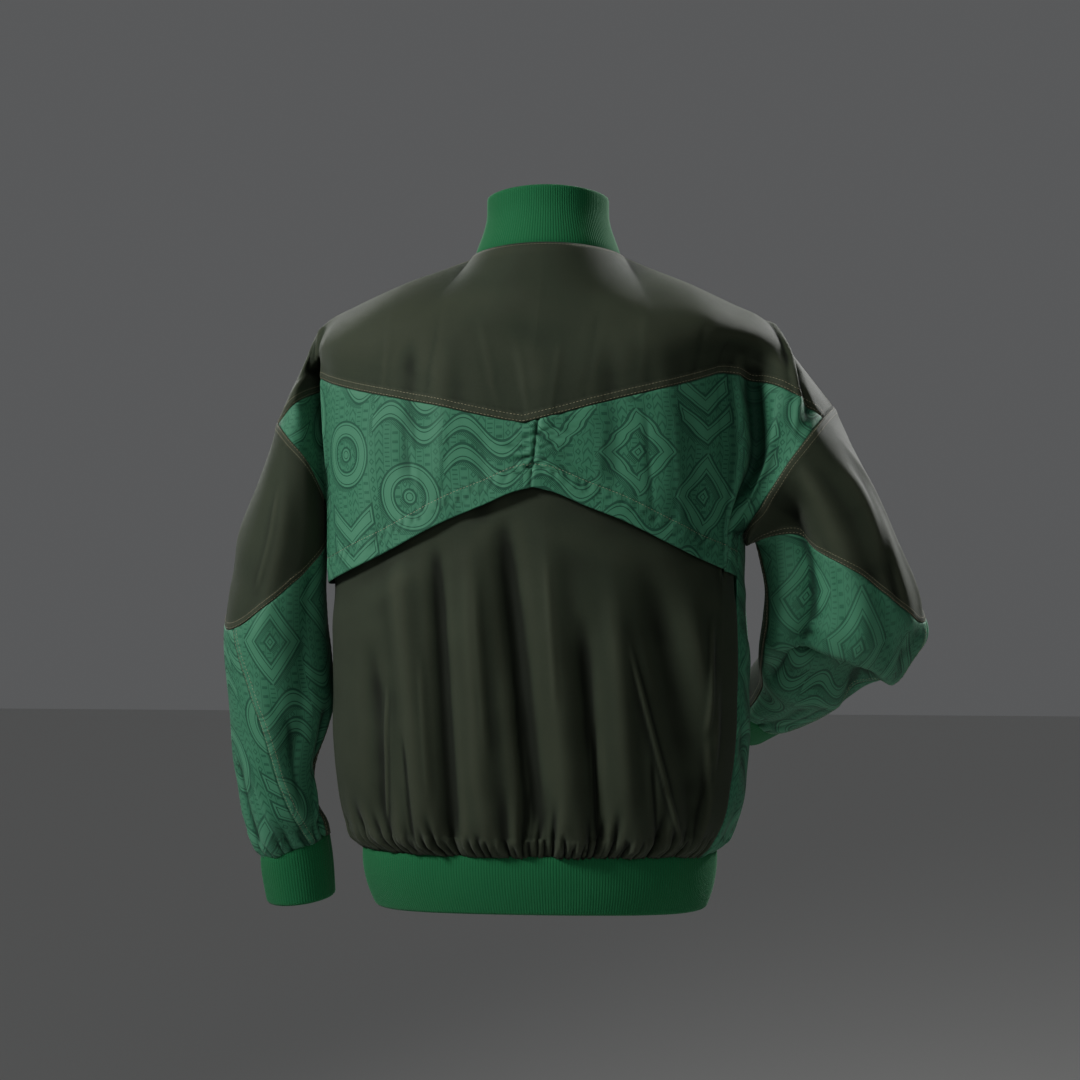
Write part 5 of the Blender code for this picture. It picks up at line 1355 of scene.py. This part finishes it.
def collar_ring(angle, t):
    x, y, z = np.moveaxis(neck_ring(angle), -1, 0)
    shrink = 1 - (1 - COLLAR_TOP_SHRINK) * ease(-0.35, 0.75, t)
    lean = np.where(np.cos(angle) > 0, 3.0, 8.0)
    return np.stack([x * shrink, y * shrink - lean * t, z + COLLAR_HEIGHT * t], -1)


def hem_ring(angle, drop):
    shape = read(HEM_RIB, "drop", np.full(np.shape(angle), float(drop)), "centre_x", "half_width", "back_y",
                 "front_y", "square")
    x, y = ring_point(angle, shape)
    return np.stack([x, y, HEM_Z - drop + HEM_RISE_BACK * np.maximum(np.cos(angle), 0.0) ** 2], -1)


COLLAR_FIRST = math.asin(ZIP_HALF_WIDTH / NECK_HALF_WIDTH)
HEM_FIRST = math.asin((ZIP_HALF_WIDTH / HEM_RIB[0].half_width) ** (HEM_RIB[0].square / 2))
RIB_GAP = 0.7
COLLAR_PARTS = np.concatenate([[0.0, 0.012, 0.035], np.linspace(0.09, 0.93, 13), [0.975, 1.0]])
BAND_DROPS = np.concatenate([[RIB_GAP, 1.8, 3.5], np.linspace(7, 55, 12), [58.2, RIB_HEIGHT]])
collar = knit_piece("collar_knit", collar_ring, COLLAR_FIRST - math.pi, math.pi - COLLAR_FIRST, COLLAR_PARTS,
                    False, "bottom")
hem_rib = knit_piece("hem_knit", hem_ring, HEM_FIRST - math.pi, math.pi - HEM_FIRST, BAND_DROPS,
                     False, "bottom")
CUFF_JOIN = 0.42            # the cuff's own seam, as a part of the way round it
cuffs = {}
for side in SIGN:
    rings = SLEEVE[side][-1:] + CUFF[side]
    frames = FRAMES[side][len(SLEEVE[side]):]
    places = np.array([[*centre, *outward, *back, ring.half_width, ring.half_depth]
                       for ring, (centre, _, outward, back) in zip(rings, frames)])
    drops = (0.0, RIB_HEIGHT / 2, RIB_HEIGHT)

    def cuff_ring(turn, drop):
        place = spline(drops, places, drop)
        centre, outward, back, (wide, deep) = place[:3], unit(place[3:6]), unit(place[6:9]), place[9:]
        return (centre + np.cos(2 * math.pi * turn)[:, None] * outward * wide
                + np.sin(2 * math.pi * turn)[:, None] * back * deep)

    cuffs[side] = knit_piece(f"cuff_knit_{side}", cuff_ring, 0.0, 1.0, BAND_DROPS, True, "bottom",
                             joins=(CUFF_JOIN,))

# %% [markdown]
# ## The zip
# Two woven tapes run from the collar's top to the hem's end, each sewn to one front. Moulded teeth sit
# on their inner edges and mesh in the middle. The zip is closed, with its slider at the collar's top.

# %% Zip tapes
COLLAR_ROWS = np.linspace(1, 0, 26)
BODY_ROWS = np.linspace(3, LEVEL_HEM, 170)
HEM_ROWS = np.linspace(RIB_GAP, RIB_HEIGHT, 20)
TAPE_CORD, TAPE_SEAM = 0.9, 6.2     # the cord's half width, and where the tape dips at its seam


def sewn_edge(side):
    """The line where a front meets its zip tape, from the top of the collar down."""
    collar_turn = np.full(COLLAR_ROWS.shape, SIGN[side] * (math.pi - COLLAR_FIRST))
    hem_turn = np.array([SIGN[side] * (math.pi - HEM_FIRST)])
    return np.concatenate([collar_ring(collar_turn, COLLAR_ROWS), body_plain(side, "front", 0.0, BODY_ROWS),
                           np.concatenate([hem_ring(hem_turn, drop) for drop in HEM_ROWS])])


zip_edges = {side: sewn_edge(side) for side in SIGN}
zip_middle = (zip_edges["left"] + zip_edges["right"]) / 2
zip_down = unit(np.gradient(zip_middle, axis=0))
zip_left = unit(zip_edges["left"] - zip_edges["right"])
zip_out = unit(np.cross(zip_left, zip_down))
zip_out *= np.where(zip_out[:, 1:2] > 0, -1.0, 1.0)
zip_tapes = {}
for side in SIGN:
    reach = np.linspace(TAPE_HALF_GAP, ZIP_HALF_WIDTH - 0.3, 10)[:, None, None]
    points = zip_middle + zip_left * SIGN[side] * reach
    outward = np.broadcast_to(zip_out, points.shape)
    cord = 0.35 * bump(reach[..., 0] - TAPE_HALF_GAP, TAPE_CORD) - 0.3 * bump(reach[..., 0] - TAPE_SEAM, 0.7)
    points = points + outward * cord[..., None]
    flat = np.stack([np.broadcast_to(reach[..., 0], points.shape[:2]), -arc(points, 1)], -1) * MM
    item = sheet_object(f"zip_tape_cloth_{side}", points, outward, flat, WALL, tape_dark, False,
                        {"wear_and_highlight": np.zeros(points.shape[:2])})
    zip_tapes[side] = Panel(points, outward, item)
print(f"zip: {arc(zip_middle[None], 1)[0, -1]:.0f} mm long")

# %% [markdown]
# One tooth and one stitch are each modelled. Copies of them are then laid along a line, each
# turned to the line's direction and to the surface below it.

# %% Copies along a line


def finished(item):
    """The item's vertices and faces with its modifiers applied. The item itself goes."""
    mesh = item.evaluated_get(bpy.context.evaluated_depsgraph_get()).to_mesh()
    corners = np.array([tuple(vertex.co) for vertex in mesh.vertices])
    faces = [tuple(face.vertices) for face in mesh.polygons]
    bpy.data.objects.remove(item)
    return corners, faces


def copies(name, shape, places, along, up, material):
    """One mesh with a copy of a shape, sized in millimetres, at each place. Its X lies along and its Z up."""
    corners, faces = shape
    up = unit(up - along * (up * along).sum(-1, keepdims=True))
    side = np.cross(up, along)
    turned = (corners[None, :, 0:1] * along[:, None] + corners[None, :, 1:2] * side[:, None]
              + corners[None, :, 2:3] * up[:, None])
    points = (places[:, None] + turned).reshape(-1, 3)
    offsets = range(0, len(points), len(corners))
    mesh = bpy.data.meshes.new(name)
    all_faces = [tuple(n + start for n in face) for start in offsets for face in faces]
    mesh.from_pydata((points * MM).tolist(), [], all_faces)
    mesh.shade_smooth()
    mesh.materials.append(material)
    item = bpy.data.objects.new(name, mesh)
    bpy.context.scene.collection.objects.link(item)
    print(f"{name}: {len(places)} copies, {len(mesh.polygons)} faces")
    return item


def walk(line, pitch, start):
    """Places, directions and a reader for other values, at even steps along a line."""
    run = arc(line[None], 1)[0]
    at = np.arange(start, run[-1] - pitch / 2, pitch)

    def pick(values, shift=0.0):
        return np.stack([np.interp(at + shift, run, column) for column in values.T], -1)

    along = unit(pick(line, pitch / 2) - pick(line, -pitch / 2))
    return pick(line), along, pick


# %% Teeth
TOOTH_PITCH, FIRST_TOOTH, TOOTH_AWAY = 2.8, 3.0, 0.75
TOOTH_SIZE, TOOTH_HEAD, TOOTH_EDGE = (1.45, 3.7, 2.0), 0.72, 0.32
bpy.ops.mesh.primitive_cube_add(size=1.0, location=(0, 0, 0))
tooth = bpy.context.object
bpy.ops.object.mode_set(mode="EDIT")
bpy.ops.transform.resize(value=TOOTH_SIZE)
bpy.ops.object.mode_set(mode="OBJECT")
for corner in tooth.data.vertices:
    if corner.co.y < 0:
        corner.co.x *= TOOTH_HEAD   # the head that meshes is narrower than the foot on the tape
rounded = tooth.modifiers.new("rounded", "BEVEL")
rounded.width, rounded.segments = TOOTH_EDGE, 1
tooth_shape = finished(tooth)
zip_teeth = {}
for side in SIGN:
    between = 0.0 if side == "left" else TOOTH_PITCH / 2
    places, along, pick = walk(zip_middle, TOOTH_PITCH, FIRST_TOOTH + between)
    foot = pick(zip_left) * SIGN[side]
    outward = unit(np.cross(along, foot))
    zip_teeth[side] = copies(f"zip_teeth_{side}", tooth_shape, places + foot * TOOTH_AWAY, along, outward,
                             teeth_dark)

# %% [markdown]
# ## Sewing
# The main seams are topstitched twice with a paler thread: one row close to the edge and one a presser
# foot's width away. The flap's hem is turned up and held by a single row. Stitches are about three
# millimetres long and never quite even.

# %% Stitches
STITCH_PITCH, STITCH_LENGTH, STITCH_WIDTH, STITCH_HEIGHT = 3.6, 2.5, 0.52, 0.42
bpy.ops.mesh.primitive_uv_sphere_add(segments=5, ring_count=3, radius=0.5, rotation=(0, math.pi / 2, 0))
stitch = bpy.context.object
bpy.ops.object.transform_apply(rotation=True)
bpy.ops.object.mode_set(mode="EDIT")
bpy.ops.transform.resize(value=(STITCH_LENGTH, STITCH_WIDTH, STITCH_HEIGHT))
bpy.ops.object.mode_set(mode="OBJECT")
stitch_shape = finished(stitch)
sewing = np.random.default_rng(8)


def thread_line(panel, edge, away, closed=False):
    """A line at a distance from an edge, on the panel's outer face, and the surface's direction there."""
    distance, points, normals = edge_distances(panel.points)[edge], panel.points, panel.normals
    if edge in ("first", "last"):
        distance, points, normals = distance.T, points.swapaxes(0, 1), normals.swapaxes(0, 1)
    if edge in ("bottom", "last"):
        distance, points, normals = distance[:, ::-1], points[:, ::-1], normals[:, ::-1]
    row = np.arange(len(distance))
    after = np.clip((distance < away).sum(1), 1, distance.shape[1] - 1)
    before = after - 1
    t = ((away - distance[row, before]) / (distance[row, after] - distance[row, before]))[:, None]
    t = np.clip(t, 0, 1)
    normal = unit(normals[row, before] * (1 - t) + normals[row, after] * t)
    line = points[row, before] * (1 - t) + points[row, after] * t + normal * (WALL / 2 + 0.06)
    if closed:
        line, normal = np.concatenate([line, line[:1]]), np.concatenate([normal, normal[:1]])
    return line, normal


def sew(name, panel, rows, closed=False):
    """Rows of stitches on a panel. rows holds pairs of an edge and a distance from it."""
    places, directions, ups = [], [], []
    for edge, away in rows:
        line, normal = thread_line(panel, edge, away, closed)
        place, along, pick = walk(line, STITCH_PITCH, STITCH_PITCH)
        up = unit(pick(normal))
        across = np.cross(up, along)
        wander = sewing.uniform(-0.09, 0.09, (len(place), 1))
        slant = sewing.uniform(-0.05, 0.05, (len(place), 1))
        places.append(place + across * wander)
        directions.append(unit(along + across * (slant + 0.05)))
        ups.append(up)
    return copies(name, stitch_shape, np.concatenate(places), np.concatenate(directions), np.concatenate(ups),
                  thread_tan)


def double(edge):
    return [(edge, EDGE_ROW), (edge, SECOND_ROW)]


stitches = {
    "back_yoke": sew("back_yoke_stitches", back_yoke, double("bottom") + [("top", NECK_ROW)]),
    "back_flap": sew("back_flap_stitches", back_flap, [("bottom", HEM_ROW)]),
}
for side in SIGN:
    stitches["front_yoke", side] = sew(f"front_yoke_stitches_{side}", front_yokes[side],
                                       double("bottom") + double("first"))
    stitches["front", side] = sew(f"front_stitches_{side}", fronts[side], double("first"))
    stitches["upper_sleeve", side] = sew(f"upper_sleeve_stitches_{side}", upper_sleeves[side],
                                         double("top") + double("bottom"), closed=True)
    stitches["lower_sleeve_inner", side] = sew(f"lower_sleeve_stitches_{side}",
                                               lower_sleeves["lower_sleeve_inner", side], double("first"))
    stitches["sleeve_panel", side] = sew(f"sleeve_panel_stitches_{side}", lower_sleeves["sleeve_panel", side],
                                         double("first") + double("last"))

# %% [markdown]
# ## What each piece stands for
# Every piece rides on the jacket and takes the place of its plain solid. The cut of each panel is
# measured along the cloth itself, gathers included, because that is the length that the cutter needs.

# %% Cuts and bodies
LEAST_CUT = 0.010           # a zip tape has a hidden, sewn margin beside the part that shows


def declare(panel, node, threads=(), closed=False):
    ring = np.concatenate([panel.points, panel.points[:1]]) if closed else panel.points
    width = max(arc(ring, 0)[-1].max() * MM, LEAST_CUT)
    length = arc(ring, 1)[:, -1].max() * MM
    corners = np.cross(ring[1:, 1:] - ring[:-1, :-1], ring[1:, :-1] - ring[:-1, 1:])
    area = np.linalg.norm(corners, axis=-1).sum() / 2 * MM**2
    area = min(max(area, 0.3 * width * length), width * length)
    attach(panel.item, "jacket")
    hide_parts(node)
    for thread in threads:
        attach(thread, "jacket")
    print(f"{panel.item.name}: cut {width * 1000:.0f} by {length * 1000:.0f} mm, {area * 1e4:.0f} square cm")


declare(back_yoke, "back_yoke", [stitches["back_yoke"]])
declare(back_flap, "back_flap", [stitches["back_flap"]])
declare(lower_back, "lower_back")
declare(collar, "collar")
declare(hem_rib, "hem_rib")
for side in SIGN:
    declare(front_yokes[side], f"front_yoke_{side}",
            [stitches["front_yoke", side]])
    declare(fronts[side], f"front_{side}",
            [stitches["front", side]])
    declare(upper_sleeves[side], f"upper_sleeve_{side}",
            [stitches["upper_sleeve", side]], closed=True)
    for name, slot in (("lower_sleeve_inner", "green_print"), ("sleeve_panel", "dark_woven"),
                       ("lower_sleeve_outer", "green_print")):
        threads = [stitches[name, side]] if (name, side) in stitches else []
        declare(lower_sleeves[name, side], f"{name}_{side}",
                threads)
    declare(cuffs[side], f"cuff_{side}",
            closed=True)
    declare(zip_tapes[side], f"zip_tape_{side}")
    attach(zip_teeth[side], "jacket")
for node in ("zip_slider", "zip_pull"):
    bpy.data.objects[node].material_slots[0].material = slider_metal
